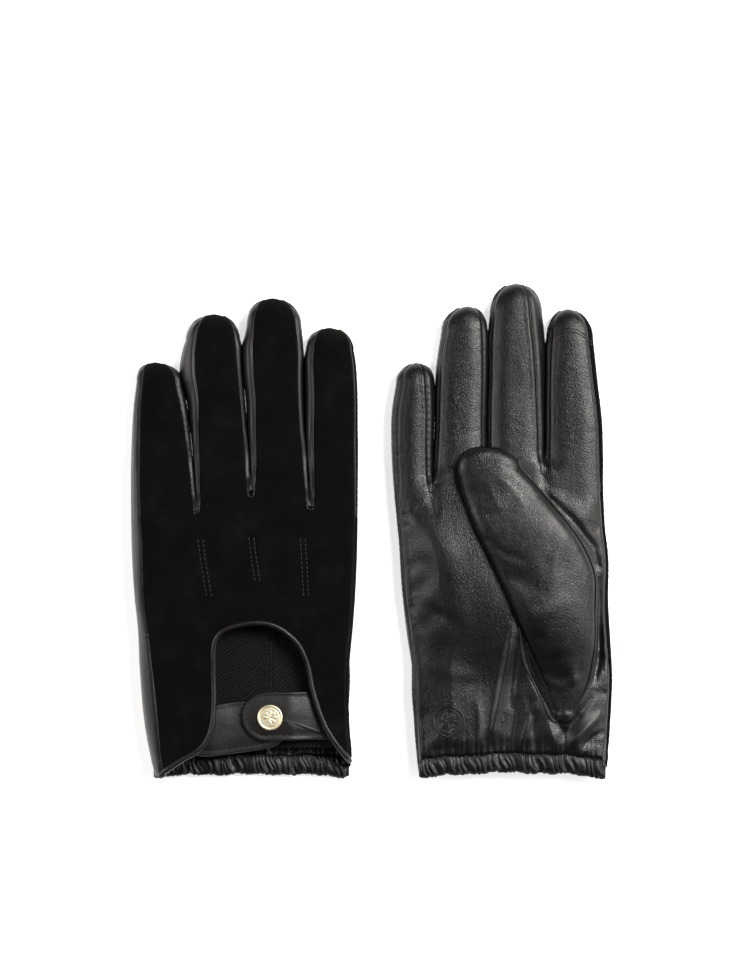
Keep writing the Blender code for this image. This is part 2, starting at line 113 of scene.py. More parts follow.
RIGHT = {
    "side": "right", "palm_up": True,
    "fingers": {
        "little": {"stations": [(18, 11.0, 28.6), (41, 10.1, 29.6), (55, 10.1, 30.3),
                                (70, 12.4, 30.3)],
                   "round": 69.0, "tip": (21.6, 79.0),
                   "shown": ([(18, 1.6), (70, 2.2)], [(18, 1.2), (45, 3.0), (70, 4.2)])},
        "ring": {"stations": [(22, 28.9, 54.1), (45, 29.9, 54.4), (60, 30.6, 54.6),
                              (75, 30.9, 54.9), (96, 33.8, 54.6)],
                 "round": 94.0, "tip": (45.6, 105.5),
                 "shown": ([(22, 1.0), (94, 1.2)], [(22, 1.0), (94, 1.9)])},
        "middle": {"stations": [(31, 54.4, 81.3), (55, 54.7, 81.7), (83, 55.2, 81.8),
                                (96, 55.6, 81.4), (106, 56.6, 80.2)],
                   "round": 102.0, "tip": (68.4, 116.2),
                   "shown": ([(31, 1.0), (102, 1.0)], [(31, 1.6), (60, 3.4), (96, 5.8)])},
        "index": {"stations": [(30, 81.6, 109.0), (50, 82.0, 108.4), (75, 82.1, 106.0),
                               (92, 83.0, 104.2)],
                  "round": 90.0, "tip": (92.8, 104.2),
                  "shown": ([(30, 1.2), (90, 1.4)], [(30, 1.6), (90, 2.2)])},
    },
    "forks": [(28.8, 20.1), (54.2, 31.0), (81.3, 29.5)],
    "roots": (17.0, 17.0),
    "left_edge": [(-114.5, 22.8), (-105, 21.6), (-83, 20.4), (-66, 19.7), (-49, 17.2),
                  (-32, 15.3), (-15, 14.2), (1, 12.8), (18, 11.0)],
    "right_edge": [(-114.5, 111.0), (-105, 111.2), (-83, 113.0), (-66, 113.4), (-49, 112.6),
                   (-32, 111.7), (-15, 111.5), (1, 110.3), (18, 109.3), (30, 109.0)],
    "left_seam": [(-112, 1.0), (20, 1.4)],
    "right_seam": [(-112, 1.0), (-40, 1.2), (5, 1.0), (30, 1.4)],
    "thumb_shift": (0.0, 0.0),
    "keyhole_shift": 123.0,
    "hem_pleats": (5.0, 55.0),
}
# Edges of the thumb from its rounded tip down to the wrist, in the right glove's place
THUMB_LEFT = [(35, 43.0), (30, 40.6), (24.6, 41.1), (11, 45.1), (-3.7, 50.8), (-18, 57.6),
              (-37.8, 67.2), (-54, 74.2), (-70, 81.2), (-84, 87.0)]
THUMB_RIGHT = [(35, 64.6), (30, 69.8), (24.6, 75.0), (15.5, 83.1), (5.3, 91.6), (-7.2, 100.1),
               (-16.8, 104.1), (-37.8, 105.0), (-57.1, 104.5), (-70.9, 101.8), (-84, 95.0)]
THUMB_TIP = (53.4, 39.9)

WRIST = -114.5
FINGER_TOP = 12.9
SIDE_RADIUS = 13.0              # how far the rounding of a finger's upper side reaches in
UNDER_RADIUS = 5.0              # the same on its lower side
RIM_SHARE = 0.42                # height of a side's widest line, as a share of the thickness
FAR = 99.0                      # an edge distance that rounds nothing
TIP_ANGLE, TIP_POWER = 84.0, 0.74   # degrees that a tip turns through, and how blunt it is
CLOTH_LIMIT = 1.4               # the most that the cloth simulation may move a point
HEM_MIDDLE = -110.0             # the palm's leather ends inside the hem
BEND_REACH = 0.0085             # metres either side of a finger's hinge, for the two places that bend_at gives
FLOOR_CLEARANCE = 0.05


# ---- small helpers -----------------------------------------------------------------------------
def smooth_step(value):
    """From 0 to 1 with level ends, and clipped outside them."""
    value = np.clip(value, 0.0, 1.0)
    return value * value * (3.0 - 2.0 * value)


def bell(distance, width):
    """1 at no distance, falling off smoothly over a width."""
    return np.exp(-((distance / width) ** 2))


def shifted(path, shift):
    """A path of plan points moved along x."""
    return [(x + shift, y) for x, y in path]


def along(stations, y, column=1):
    """A station list's value at y, eased between stations."""
    keys = np.array([station[0] for station in stations], float)
    values = np.array([station[column] for station in stations], float)
    slopes = np.gradient(values, keys)
    spot = np.clip(np.searchsorted(keys, y) - 1, 0, len(keys) - 2)
    width = keys[spot + 1] - keys[spot]
    t = np.clip((y - keys[spot]) / width, 0.0, 1.0)
    a, b = values[spot], values[spot + 1]
    ta, tb = slopes[spot] * width, slopes[spot + 1] * width
    return (2 * t**3 - 3 * t**2 + 1) * a + (t**3 - 2 * t**2 + t) * ta \
        + (3 * t**2 - 2 * t**3) * b + (t**3 - t**2) * tb


def rounding(distance, reach):
    """Quarter-round from 0 at an edge to 1 at its reach."""
    return np.sqrt(1.0 - (1.0 - np.clip(distance / reach, 0.0, 1.0)) ** 3)


def path_distance(x, y, path):
    """Distance from points to an open path, and how far along it the nearest spot is, 0 to 1."""
    path = np.array(path, float)
    lengths = np.hypot(*np.diff(path, axis=0).T)
    starts = np.concatenate([[0.0], np.cumsum(lengths)])
    best, share = np.full(np.shape(x), 1e9), np.zeros(np.shape(x))
    for (ax, ay), (bx, by), start, length in zip(path, path[1:], starts, lengths):
        t = np.clip(((x - ax) * (bx - ax) + (y - ay) * (by - ay)) / length**2, 0.0, 1.0)
        away = np.hypot(x - ax - t * (bx - ax), y - ay - t * (by - ay))
        nearer = away < best
        best = np.where(nearer, away, best)
        share = np.where(nearer, (start + t * length) / starts[-1], share)
    return best, share


def stroke(x, y, path, width, height):
    """A fold or crease along a path, fading out at both ends."""
    away, share = path_distance(x, y, path)
    return height * bell(away, width) * np.sin(np.pi * np.clip(share, 0, 1)) ** 0.6


def field_noise(x, y, scale, seed):
    """Smooth noise from -1 to 1 over the plan."""
    flat = [noise.noise(Vector((a / scale, b / scale, seed))) for a, b in zip(x.flat, y.flat)]
    return np.array(flat).reshape(x.shape)


def smooth_path(points, spacing):
    """Evenly spaced points on a Catmull-Rom curve through a list of points."""
    points = np.array(points, float)
    padded = np.vstack([2 * points[0] - points[1], points, 2 * points[-1] - points[-2]])
    fine = []
    for a, b, c, d in zip(padded, padded[1:], padded[2:], padded[3:]):
        for t in np.linspace(0.0, 1.0, 12, endpoint=False):
            fine.append(0.5 * (2 * b + (c - a) * t + (2 * a - 5 * b + 4 * c - d) * t**2
                               + (3 * b - a - 3 * c + d) * t**3))
    fine = np.array(fine + [points[-1]])
    lengths = np.concatenate([[0.0], np.cumsum(np.linalg.norm(np.diff(fine, axis=0), axis=1))])
    count = max(int(round(lengths[-1] / spacing)), 2)
    wanted = np.linspace(0.0, lengths[-1], count + 1)
    return np.stack([np.interp(wanted, lengths, fine[:, axis]) for axis in range(fine.shape[1])],
                    axis=1)


# ---- the shell grid ----------------------------------------------------------------------------
def finger_columns(position):
    """How many columns the left group and the right group of a finger have."""
    return (EDGE if position == 0 else FORK), (EDGE if position == 3 else FORK)


def crowded(share):
    """Even shares pushed towards both ends, where the seams are."""
    return share - 0.55 * np.sin(2 * np.pi * share) / (2 * np.pi)


def column_places(position, left, right, shown_left, shown_right):
    """Places of a finger's columns across it, its seams on columns of their own."""
    first, last = finger_columns(position)
    parts = [left + shown_left * (1 - (1 - k / first) ** 1.4) for k in range(first)]
    width = right - left - shown_left - shown_right
    parts += [left + shown_left + width * crowded(k / STRIP) for k in range(STRIP)]
    parts += [right - shown_right * (1 - k / last) ** 1.4 for k in range(last + 1)]
    return np.stack(parts, axis=-1)


def fork_line(glove, position):
    """Height in the plan where each of a finger's columns leaves the hand."""
    first, last = finger_columns(position)
    ends = [(None, glove["roots"][0]), *glove["forks"], (None, glove["roots"][1])]
    share = np.linspace(0.0, 1.0, first + STRIP + last + 1)
    return ends[position][1] * (1 - share) + ends[position + 1][1] * share


def finger_plan(glove, position):
    """Plan places (x, y) of a finger's grid, with the edge distances that round its sides."""
    finger = glove["fingers"][FINGERS[position]]
    stations, start, tip = finger["stations"], finger["round"], finger["tip"]
    roots = fork_line(glove, position)
    rows_x, rows_y, sides, tips = [], [], [], []
    for tau in np.linspace(0.0, 1.0, FINGER_ROWS + 1):
        y = roots * (1 - tau) + start * tau
        left, right = along(stations, y, 1), along(stations, y, 2)
        places = column_places(position, left, right, along(finger["shown"][0], y),
                               along(finger["shown"][1], y))
        x = np.diagonal(places)
        rows_x.append(x)
        rows_y.append(y)
        sides.append((x - left, right - x))
        tips.append(np.full(x.shape, FAR))
    middle, half = (rows_x[-1][0] + rows_x[-1][-1]) / 2, (rows_x[-1][-1] - rows_x[-1][0]) / 2
    for step in range(1, TIP_ROWS + 1):
        angle = math.radians(TIP_ANGLE) * step / TIP_ROWS
        shrink = math.cos(angle) ** TIP_POWER
        x = middle + (rows_x[FINGER_ROWS] - middle) * shrink \
            + (tip[0] - middle) * math.sin(angle) ** 2
        y = np.full(x.shape, start + (tip[1] - start) * math.sin(angle))
        bow = 1.0 - ((rows_x[FINGER_ROWS] - middle) / half) ** 2
        y = y + 0.6 * math.sin(angle) * bow
        inside = 1.0 - np.hypot((rows_x[FINGER_ROWS] - middle) / half * shrink,
                                math.sin(angle))
        rows_x.append(x)
        rows_y.append(y)
        tips.append(np.clip(inside, 0.0, 1.0) * min(half, tip[1] - start))
        sides.append((np.full(x.shape, FAR),) * 2)
    return np.array(rows_x), np.array(rows_y), np.array(sides), np.array(tips)


def hand_plan(glove):
    """Plan places of the hand's grid, from the forks down to the wrist."""
    tops_x, tops_y = [], []
    for position in range(4):
        x, y, _, _ = finger_plan(glove, position)
        tops_x.append(x[0] if position == 0 else x[0][1:])
        tops_y.append(y[0] if position == 0 else y[0][1:])
    top_x, top_y = np.concatenate(tops_x), np.concatenate(tops_y)
    count = len(top_x)
    index = np.arange(count)
    begin_l = along(glove["left_edge"], top_y) + along(glove["left_seam"], top_y)
    begin_r = along(glove["right_edge"], top_y) - along(glove["right_seam"], top_y)
    at_fork = (top_x - begin_l) / (begin_r - begin_l)
    even = (index - EDGE) / (count - 1 - 2 * EDGE)
    rows_x, rows_y = [], []
    for share in np.linspace(0.0, 1.0, HAND_ROWS + 1):
        y = top_y * (1 - share) + WRIST * share
        left, right = along(glove["left_edge"], y), along(glove["right_edge"], y)
        seam_l = left + along(glove["left_seam"], y)
        seam_r = right - along(glove["right_seam"], y)
        inner = at_fork + (even - at_fork) * smooth_step(share * 1.3)
        x = seam_l + (seam_r - seam_l) * inner
        x = np.where(index <= EDGE, left + (seam_l - left) * index / EDGE, x)
        x = np.where(index >= count - 1 - EDGE,
                     right - (right - seam_r) * (count - 1 - index) / EDGE, x)
        rows_x.append(x)
        rows_y.append(y)
    return np.array(rows_x), np.array(rows_y)


def hem_line(glove, x):
    """Middle of the hem: it rises a little between the glove's two edges."""
    middle = (glove["left_edge"][0][1] + glove["right_edge"][0][1]) / 2
    share = np.clip((x - middle) / 44.0, -1.0, 1.0)
    arch = 2.3 if glove["palm_up"] else 0.9
    waver = 0.3 * np.sin(x * 0.21 + 1.0)
    return -110.3 + arch * (1.0 - share**2) + waver + 0.25 * np.sin(x * 0.57)


def gathers(glove, x):
    """Narrow valleys between the bunches of an elasticated hem, 0 to 1."""
    pitch, phase = glove["hem_pleats"]
    wander = 0.55 * np.sin(x * 0.31 + phase) + 0.35 * np.sin(x * 0.83 + 2.1 * phase)
    return (0.5 + 0.5 * np.cos(2 * np.pi * (x / pitch + wander))) ** 1.5


def skins(glove, x, y):
    """Lowest and highest level of a glove's shell at plan places."""
    middle = (glove["left_edge"][-1][1] + glove["right_edge"][-1][1]) / 2
    crown = 2.6 * smooth_step(1.0 - ((x - middle) / 46.0) ** 2) \
        * smooth_step(1.0 - ((y + 25.0) / 46.0) ** 2)
    hem_step = smooth_step((hem_line(glove, x) + 4.6 - 0.5 * gathers(glove, x) - y) / 1.6)
    if glove["palm_up"]:
        low = 0.1 + 2.4 * smooth_step((-40.0 - y) / 26.0)
        high = FINGER_TOP + crown + 0.3 * smooth_step((30.0 - y) / 20.0)
        high = high - 3.4 * hem_step
    else:
        lift = smooth_step((47.0 - y) / 14.0) * smooth_step((y + 102.0) / 8.0)
        low = 0.1 + 7.2 * lift * smooth_step((x + 101.0) / 18.0) * smooth_step((-7.0 - x) / 5.0)
        low = low + 3.0 * hem_step
        high = FINGER_TOP + 4.2 * smooth_step((48.0 - y) / 22.0) + crown
    return low, high


def shell(glove):
    """Grids of points (rows, columns, 3): the hand and its fingers, upper and lower skin."""
    grids = {}
    x, y = hand_plan(glove)
    low, high = skins(glove, x, y)
    rim = low + RIM_SHARE * (high - low)
    left, right = x - x[:, :1], x[:, -1:] - x
    upper = rounding(left, SIDE_RADIUS) * rounding(right, SIDE_RADIUS)
    lower = rounding(left, UNDER_RADIUS) * rounding(right, UNDER_RADIUS)
    grids["hand"] = (np.stack([x, y, rim + (high - rim) * upper], axis=-1),
                     np.stack([x, y, rim - (rim - low) * lower], axis=-1))
    for position, name in enumerate(FINGERS):
        x, y, sides, tips = finger_plan(glove, position)
        low, high = skins(glove, x, y)
        rim = low + RIM_SHARE * (high - low)
        above = y - fork_line(glove, position)
        split = smooth_step(above / 9.0)
        shapes = []
        for reach in (SIDE_RADIUS, UNDER_RADIUS):
            tip = rounding(tips, reach)
            parts = [rounding(sides[:, 0], reach), rounding(sides[:, 1], reach)]
            if position > 0:
                parts[0] = 1.0 - split * (1.0 - parts[0])
            if position < 3:
                parts[1] = 1.0 - split * (1.0 - parts[1])
            shapes.append(parts[0] * parts[1] * tip)
        grids[name] = (np.stack([x, y, rim + (high - rim) * shapes[0]], axis=-1),
                       np.stack([x, y, rim - (rim - low) * shapes[1]], axis=-1))
    close_gaps(glove, grids)
    return grids


def close_gaps(glove, grids):
    """Bring neighbouring fingers together, from the fork to the shorter one's shoulder."""
    for before, after in zip(FINGERS, FINGERS[1:]):
        top = min(glove["fingers"][name]["round"] for name in (before, after)) - 1.0
        sides = grids[before][0][:, -1, :2].copy(), grids[after][0][:, 0, :2].copy()
        for mine, other, name, column in ((0, 1, before, -1), (1, 0, after, 0)):
            x, y = sides[mine][:, 0], sides[mine][:, 1]
            rows = slice(0, FINGER_ROWS + 1)
            gap = np.interp(y, sides[other][rows, 1], sides[other][rows, 0]) - x
            wanted = (gap - np.sign(gap) * 0.12) / 2
            held = smooth_step((top + 3.0 - y) / 6.0) * smooth_step((y - y[0]) / 4.0)
            reach = FORK + 2
            for step in range(reach):
                spot = column - step if column == -1 else step
                for grid in grids[name]:
                    grid[:, spot, 0] += wanted * held * (1.0 - step / reach)


# ---- cloth simulation --------------------------------------------------------------------------
CLOTH_SCALE = 0.01              # the cloth is simulated ten times its size, where it behaves well
CLOTH_FRAMES, CLOTH_QUALITY, CLOTH_MASS = 18, 5, 0.25
CLOTH_STRETCH, CLOTH_SHEAR, CLOTH_BENDING = 22.0, 9.0, 4.0
CLOTH_PUSH = 0.05               # share of gravity that fills the leather, outwards
LEATHER_GROWTH, SUEDE_GROWTH, THUMB_GROWTH = 0.003, 0.0015, 0.004


def settle(grid, held, push, grow):
    """Leather face let go as cloth between its seams; returns how far each point moves, in mm."""
    rows = np.unique(np.append(np.arange(0, grid.shape[0], 2), grid.shape[0] - 1))
    columns = np.unique(np.append(np.arange(0, grid.shape[1], 2), grid.shape[1] - 1))
    coarse, pinned = grid[np.ix_(rows, columns)], held[np.ix_(rows, columns)].ravel()
    mesh = bpy.data.meshes.new("cloth")
    points, faces = patch(coarse)
    mesh.from_pydata((points * CLOTH_SCALE).tolist(), [], faces)
    sheet = bpy.data.objects.new("cloth", mesh)
    bpy.context.collection.objects.link(sheet)
    group = sheet.vertex_groups.new(name="held")
    group.add([int(index) for index in np.nonzero(pinned)[0]], 1.0, "REPLACE")
    cloth = sheet.modifiers.new("cloth", "CLOTH")
    cloth.settings.quality = CLOTH_QUALITY
    cloth.settings.mass = CLOTH_MASS
    cloth.settings.tension_stiffness = cloth.settings.compression_stiffness = CLOTH_STRETCH
    cloth.settings.shear_stiffness = CLOTH_SHEAR
    cloth.settings.bending_stiffness = CLOTH_BENDING
    cloth.settings.vertex_group_mass = group.name
    cloth.settings.shrink_min = -grow
    cloth.settings.effector_weights.gravity = push
    cloth.collision_settings.use_collision = False
    cloth.point_cache.frame_end = CLOTH_FRAMES
    scene = bpy.context.scene
    for frame_number in range(1, CLOTH_FRAMES + 1):
        scene.frame_set(frame_number)
    evaluated = sheet.evaluated_get(bpy.context.evaluated_depsgraph_get()).to_mesh()
    settled = np.empty(len(points) * 3)
    evaluated.vertices.foreach_get("co", settled)
    moved = (settled.reshape(-1, 3) / CLOTH_SCALE - points).reshape(coarse.shape)
    scene.frame_set(1)
    bpy.data.objects.remove(sheet)
    bpy.data.meshes.remove(mesh)
    full = np.empty(grid.shape)
    for axis in range(3):
        along_rows = np.array([np.interp(np.arange(grid.shape[1]), columns, line)
                               for line in moved[..., axis]])
        full[..., axis] = np.array([np.interp(np.arange(grid.shape[0]), rows, line)
                                    for line in along_rows.T]).T
    length = np.maximum(np.linalg.norm(full, axis=-1, keepdims=True), 1e-6)
    return full * np.minimum(length, CLOTH_LIMIT) / length


def settle_hand(glove, grids):
    """Both faces of the hand, held at their seams, the forks, the hem and the keyhole."""
    palm_up = glove["palm_up"]
    path = keyhole_path(glove)
    settled = []
    for level, grid in enumerate(grids["hand"]):
        x, y = grid[..., 0], grid[..., 1]
        held = np.zeros(x.shape, bool)
        held[:5] = held[-2:] = True
        held[:, :EDGE + 1] = held[:, -EDGE - 1:] = True
        held |= y < -102.0
        if (level == 0) != palm_up:
            near, _ = path_distance(x, y, path)
            held |= (near < 2.5) | ((y < -43.0) & (np.abs(x - path[:, 0].mean()) < 22.0))
        push = -CLOTH_PUSH if level == 0 else CLOTH_PUSH
        grow = LEATHER_GROWTH if (level == 0) == palm_up else SUEDE_GROWTH
        settled.append(grid + settle(grid, held, push, grow))
    palm = settled[0 if palm_up else 1]
    palm[..., 1] = np.maximum(palm[..., 1], HEM_MIDDLE)
    grids["hand"] = tuple(settled)


# ---- meshes and materials ----------------------------------------------------------------------
WELD = 0.02                     # points closer than this become one


def make_piece(name, parts, material, body, replaced=(), weld=WELD):
    """Piece of (points, faces) parts, riding on a body; where body is bend_at's, its transform is
    baked and it rides on none.
    """
    mesh = mesh_of(name, parts, weld)
    piece = bpy.data.objects.new(name, mesh)
    bpy.context.collection.objects.link(piece)
    mesh.materials.append(material)
    for polygon in mesh.polygons:
        polygon.use_smooth = True
    if isinstance(body, tuple):
        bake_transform(piece)
    else:
        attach(piece, body)
    if replaced:
        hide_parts(*replaced)
    return piece


def mesh_of(name, parts, weld):
    """Mesh in the frame's metres from (points, faces) parts in plan millimetres."""
    points = np.concatenate([np.asarray(part[0], float).reshape(-1, 3) for part in parts])
    points[:, 2] = np.maximum(points[:, 2], FLOOR_CLEARANCE)
    faces, start = [], 0
    for part_points, part_faces in parts:
        faces += [tuple(int(index) + start for index in face) for face in part_faces]
        start += len(np.asarray(part_points).reshape(-1, 3))
    mesh = bpy.data.meshes.new(name)
    mesh.from_pydata(((points - ORIGIN) * MM).tolist(), [], faces)
    if weld:
        work = bmesh.new()
        work.from_mesh(mesh)
        bmesh.ops.remove_doubles(work, verts=work.verts[:], dist=weld * MM)
        bmesh.ops.dissolve_degenerate(work, edges=work.edges[:], dist=0.001 * MM)
        work.to_mesh(mesh)
        work.free()
    return mesh


def join_rows(upper, lower, rows):
    """Bring two skins together along whole rows of their grids."""
    for row in rows:
        upper[row] = lower[row] = (upper[row] + lower[row]) / 2


def patch(grid, flip=False, keep=None):
    """Faces over a grid of points; keep is a mask over the grid's cells."""
    rows, columns = grid.shape[:2]
    faces = []
    for row in range(rows - 1):
        for column in range(columns - 1):
            if keep is not None and not keep[row, column]:
                continue
            a = row * columns + column
            face = (a, a + 1, a + columns + 1, a + columns)
            faces.append(face[::-1] if flip else face)
    return grid.reshape(-1, 3), faces


def ring_quads(rings, count, start=0, wrap=False):
    """Quads between neighbouring rings of points; wrap joins the last ring to the first."""
    faces = []
    for ring in range(rings if wrap else rings - 1):
        near, far = start + ring * count, start + (ring + 1) % rings * count
        for step in range(count):
            after = (step + 1) % count
            faces.append((near + step, near + after, far + after, far + step))
    return faces


def tube(path, radius, sides=8, closed=False, flat=1.0):
    """Round tube with closed ends along a path of points; radius may change along it."""
    path = np.asarray(path, float)
    count = len(path)
    radius = np.broadcast_to(np.asarray(radius, float), (count,))
    if closed:
        ahead = np.roll(path, -1, axis=0) - np.roll(path, 1, axis=0)
    else:
        ahead = np.gradient(path, axis=0)
    ahead /= np.linalg.norm(ahead, axis=1)[:, None]
    across = np.cross(ahead, [0.0, 0.0, 1.0])
    across /= np.maximum(np.linalg.norm(across, axis=1), 1e-6)[:, None]
    up = np.cross(across, ahead)
    angles = np.linspace(0.0, 2 * np.pi, sides, endpoint=False)
    ring = across[:, None] * np.cos(angles)[None, :, None] \
        + up[:, None] * flat * np.sin(angles)[None, :, None]
    points = path[:, None] + ring * radius[:, None, None]
    faces = ring_quads(count, sides, wrap=closed)
    if not closed:
        faces.append(tuple(range(sides))[::-1])
        faces.append(tuple(range((count - 1) * sides, count * sides)))
    return points.reshape(-1, 3), faces


def normals(grid, upward):
    """Unit normals of a grid of points, pointing up or down."""
    normal = np.cross(np.gradient(grid, axis=1), np.gradient(grid, axis=0))
    normal /= np.maximum(np.linalg.norm(normal, axis=-1), 1e-9)[..., None]
    sign = np.sign(normal[..., 2:3].mean()) * (1 if upward else -1)
    return normal * sign


class Nodes:
    """Short way to write a node material."""

    def __init__(self, name):
        self.material = bpy.data.materials.new(name)
        self.material.use_nodes = True
        self.tree = self.material.node_tree
        self.shader = self.tree.nodes["Principled BSDF"]
        place = self.tree.nodes.new("ShaderNodeTexCoord")
        scale = self.tree.nodes.new("ShaderNodeMapping")
        scale.inputs["Scale"].default_value = (1000.0, 1000.0, 1000.0)
        self.tree.links.new(place.outputs["Object"], scale.inputs["Vector"])
        self.place = scale.outputs["Vector"]

    def set(self, **values):
        for name, value in values.items():
            self.shader.inputs[name.replace("_", " ")].default_value = value

    def add(self, kind, inputs=None, **properties):
        node = self.tree.nodes.new(kind)
        for name, value in properties.items():
            setattr(node, name, value)
        for key, value in (inputs or {}).items():
            if isinstance(value, bpy.types.NodeSocket):
                self.tree.links.new(value, node.inputs[key])
            else:
                node.inputs[key].default_value = value
        return node

    def noise(self, scale, detail, rough):
        node = self.add("ShaderNodeTexNoise", {"Vector": self.place, "Scale": scale,
                                               "Detail": detail, "Roughness": rough})
        return node.outputs["Fac"]

    def ramp(self, value, stops):
        node = self.add("ShaderNodeValToRGB", {"Fac": value})
        elements = node.color_ramp.elements
        while len(elements) < len(stops):
            elements.new(0.5)
        for element, (position, colour) in zip(elements, stops):
            element.position = position
            element.color = (*colour, 1.0) if isinstance(colour, tuple) else (colour,) * 3 + (1.0,)
        return node.outputs["Color"]

    def math(self, operation, a, b):
        return self.add("ShaderNodeMath", {0: a, 1: b}, operation=operation).outputs[0]

    def blend(self, first, share, second, other_share):
        """Sum of two values, each times its share."""
        parts = [self.math("MULTIPLY", first, share), self.math("MULTIPLY", second, other_share)]
        return self.math("ADD", *parts)

    def bump(self, height, strength, distance, normal=None):
        inputs = {"Height": height, "Strength": strength, "Distance": distance * MM}
        if normal is not None:
            inputs["Normal"] = normal
        return self.add("ShaderNodeBump", inputs).outputs["Normal"]

    def link(self, socket, name):
        self.tree.links.new(socket, self.shader.inputs[name])


def suede_material():
    """Napped suede: near black, cloudy where the nap lies differently, no gloss."""
    nodes = Nodes("suede")
    nodes.set(Roughness=0.96, Specular_IOR_Level=0.06, Sheen_Weight=0.012, Sheen_Roughness=0.6)
    nodes.shader.inputs["Sheen Tint"].default_value = (0.9, 0.85, 0.8, 1.0)
    cloud = nodes.noise(0.09, 3.0, 0.55)
    nap = nodes.noise(1.6, 5.0, 0.7)
    mixed = nodes.blend(cloud, 0.65, nap, 0.35)
    nodes.link(nodes.ramp(mixed, [(0.30, (0.0014, 0.0013, 0.0011)),
                                  (0.52, (0.0026, 0.0024, 0.0021)),
                                  (0.74, (0.0062, 0.0056, 0.0051))]), "Base Color")
    fibre = nodes.noise(4.5, 6.0, 0.75)
    soft = nodes.bump(nap, 0.35, 0.5)
    nodes.link(nodes.bump(fibre, 0.7, 0.35, soft), "Normal")
    return nodes.material


def leather_material(name, colour, rough, grain, strength):
    """Fine-grained leather: pebbles about a millimetre wide (grain per mm), pores, soft wear."""
    nodes = Nodes(name)
    nodes.set(Specular_IOR_Level=0.42)
    warp = nodes.add("ShaderNodeTexNoise", {"Vector": nodes.place, "Scale": 0.7, "Detail": 2.0})
    bent_place = nodes.add("ShaderNodeVectorMath", {0: nodes.place, 1: warp.outputs["Color"]},
                           operation="ADD").outputs["Vector"]
    cells = nodes.add("ShaderNodeTexVoronoi", {"Vector": bent_place, "Scale": grain},
                      feature="DISTANCE_TO_EDGE")
    pebble = nodes.ramp(cells.outputs["Distance"], [(0.0, 0.0), (0.10, 0.62), (0.35, 1.0)])
    fine = nodes.noise(3.8, 5.0, 0.65)
    broad = nodes.noise(0.11, 3.0, 0.6)
    dark = tuple(value * 0.72 for value in colour)
    light = tuple(value * 1.5 for value in colour)
    nodes.link(nodes.ramp(nodes.blend(broad, 0.7, fine, 0.3),
                          [(0.30, dark), (0.55, colour), (0.78, light)]), "Base Color")
    nodes.link(nodes.ramp(nodes.blend(broad, 0.6, fine, 0.4),
                          [(0.25, rough - 0.09), (0.75, rough + 0.12)]), "Roughness")
    rolling = nodes.bump(nodes.noise(0.16, 2.0, 0.5), 0.16, 1.2)
    pores = nodes.bump(fine, 0.08, 0.1, rolling)
    nodes.link(nodes.bump(pebble, strength, 0.16, pores), "Normal")
    return nodes.material


def lining_material():
    """Dark brushed knit with slanted wales."""
    nodes = Nodes("lining_knit")
    nodes.set(Roughness=0.95, Specular_IOR_Level=0.12, Sheen_Weight=0.06, Sheen_Roughness=0.5)
    turned = nodes.add("ShaderNodeMapping", {"Vector": nodes.place, "Rotation": (0, 0, 0.9)})
    wales = nodes.add("ShaderNodeTexWave", {"Vector": turned.outputs["Vector"], "Scale": 0.24,
                                            "Distortion": 4.5, "Detail": 3.0, "Detail Scale": 1.4})
    fuzz = nodes.noise(2.6, 5.0, 0.7)
    mixed = nodes.blend(wales.outputs["Fac"], 0.6, fuzz, 0.5)
    nodes.link(nodes.ramp(mixed, [(0.25, (0.0012, 0.0012, 0.0012)),
                                  (0.6, (0.0042, 0.0041, 0.0038)),
                                  (0.9, (0.017, 0.0165, 0.0155))]), "Base Color")
    nodes.link(nodes.bump(mixed, 0.9, 0.6), "Normal")
    return nodes.material


def thread_material():
    """Twisted black thread with a slight shine."""
    nodes = Nodes("thread")
    nodes.set(Roughness=0.6, Specular_IOR_Level=0.4, Sheen_Weight=0.2)
    twist = nodes.add("ShaderNodeTexWave",
                      {"Vector": nodes.place, "Scale": 1.8, "Distortion": 0.6},
                      bands_direction="DIAGONAL")
    nodes.link(nodes.ramp(twist.outputs["Fac"], [(0.1, (0.006, 0.006, 0.006)),
                                                 (0.9, (0.022, 0.021, 0.02))]), "Base Color")
    nodes.link(nodes.bump(twist.outputs["Fac"], 0.5, 0.1), "Normal")
    return nodes.material


def gilt_material():
    """Polished pale gilt with faint brushing and handling marks."""
    nodes = Nodes("gilt")
    nodes.set(Metallic=1.0)
    marks = nodes.noise(1.4, 5.0, 0.7)
    nodes.link(nodes.ramp(marks, [(0.3, (0.80, 0.70, 0.47)), (0.7, (0.95, 0.88, 0.68))]),
               "Base Color")
    nodes.link(nodes.ramp(marks, [(0.3, 0.42), (0.75, 0.60)]), "Roughness")
    nodes.link(nodes.bump(marks, 0.12, 0.08), "Normal")
    return nodes.material


SUEDE = suede_material()
PALM_LEATHER = leather_material("palm_leather", (0.0038, 0.0032, 0.0028), 0.32, 1.0, 0.36)
THIN_LEATHER = leather_material("fourchette_leather", (0.0048, 0.0041, 0.0036), 0.38, 1.3, 0.25)
STRAP_LEATHER = leather_material("strap_leather", (0.0036, 0.0031, 0.0027), 0.46, 1.1, 0.30)
LINING = lining_material()
THREAD = thread_material()
GILT = gilt_material()


# ---- surface dressing: seams, puckers and folds ------------------------------------------------
def seam_relief(distance, run):
    """Stitched seam in cross-section, with small puckers along it."""
    groove = -0.65 * bell(distance, 0.6)
    shoulder = 0.32 * bell(distance - 1.6, 0.9)
    pucker = 0.08 * np.sin(2 * np.pi * run / 3.1) * bell(distance, 2.4)
    return groove + shoulder + pucker


def common_relief(x, y, level):
    """Broad unevenness that runs on from the hand into the fingers."""
    return 0.5 * field_noise(x, y, 26.0, 5.0 + 10 * level)


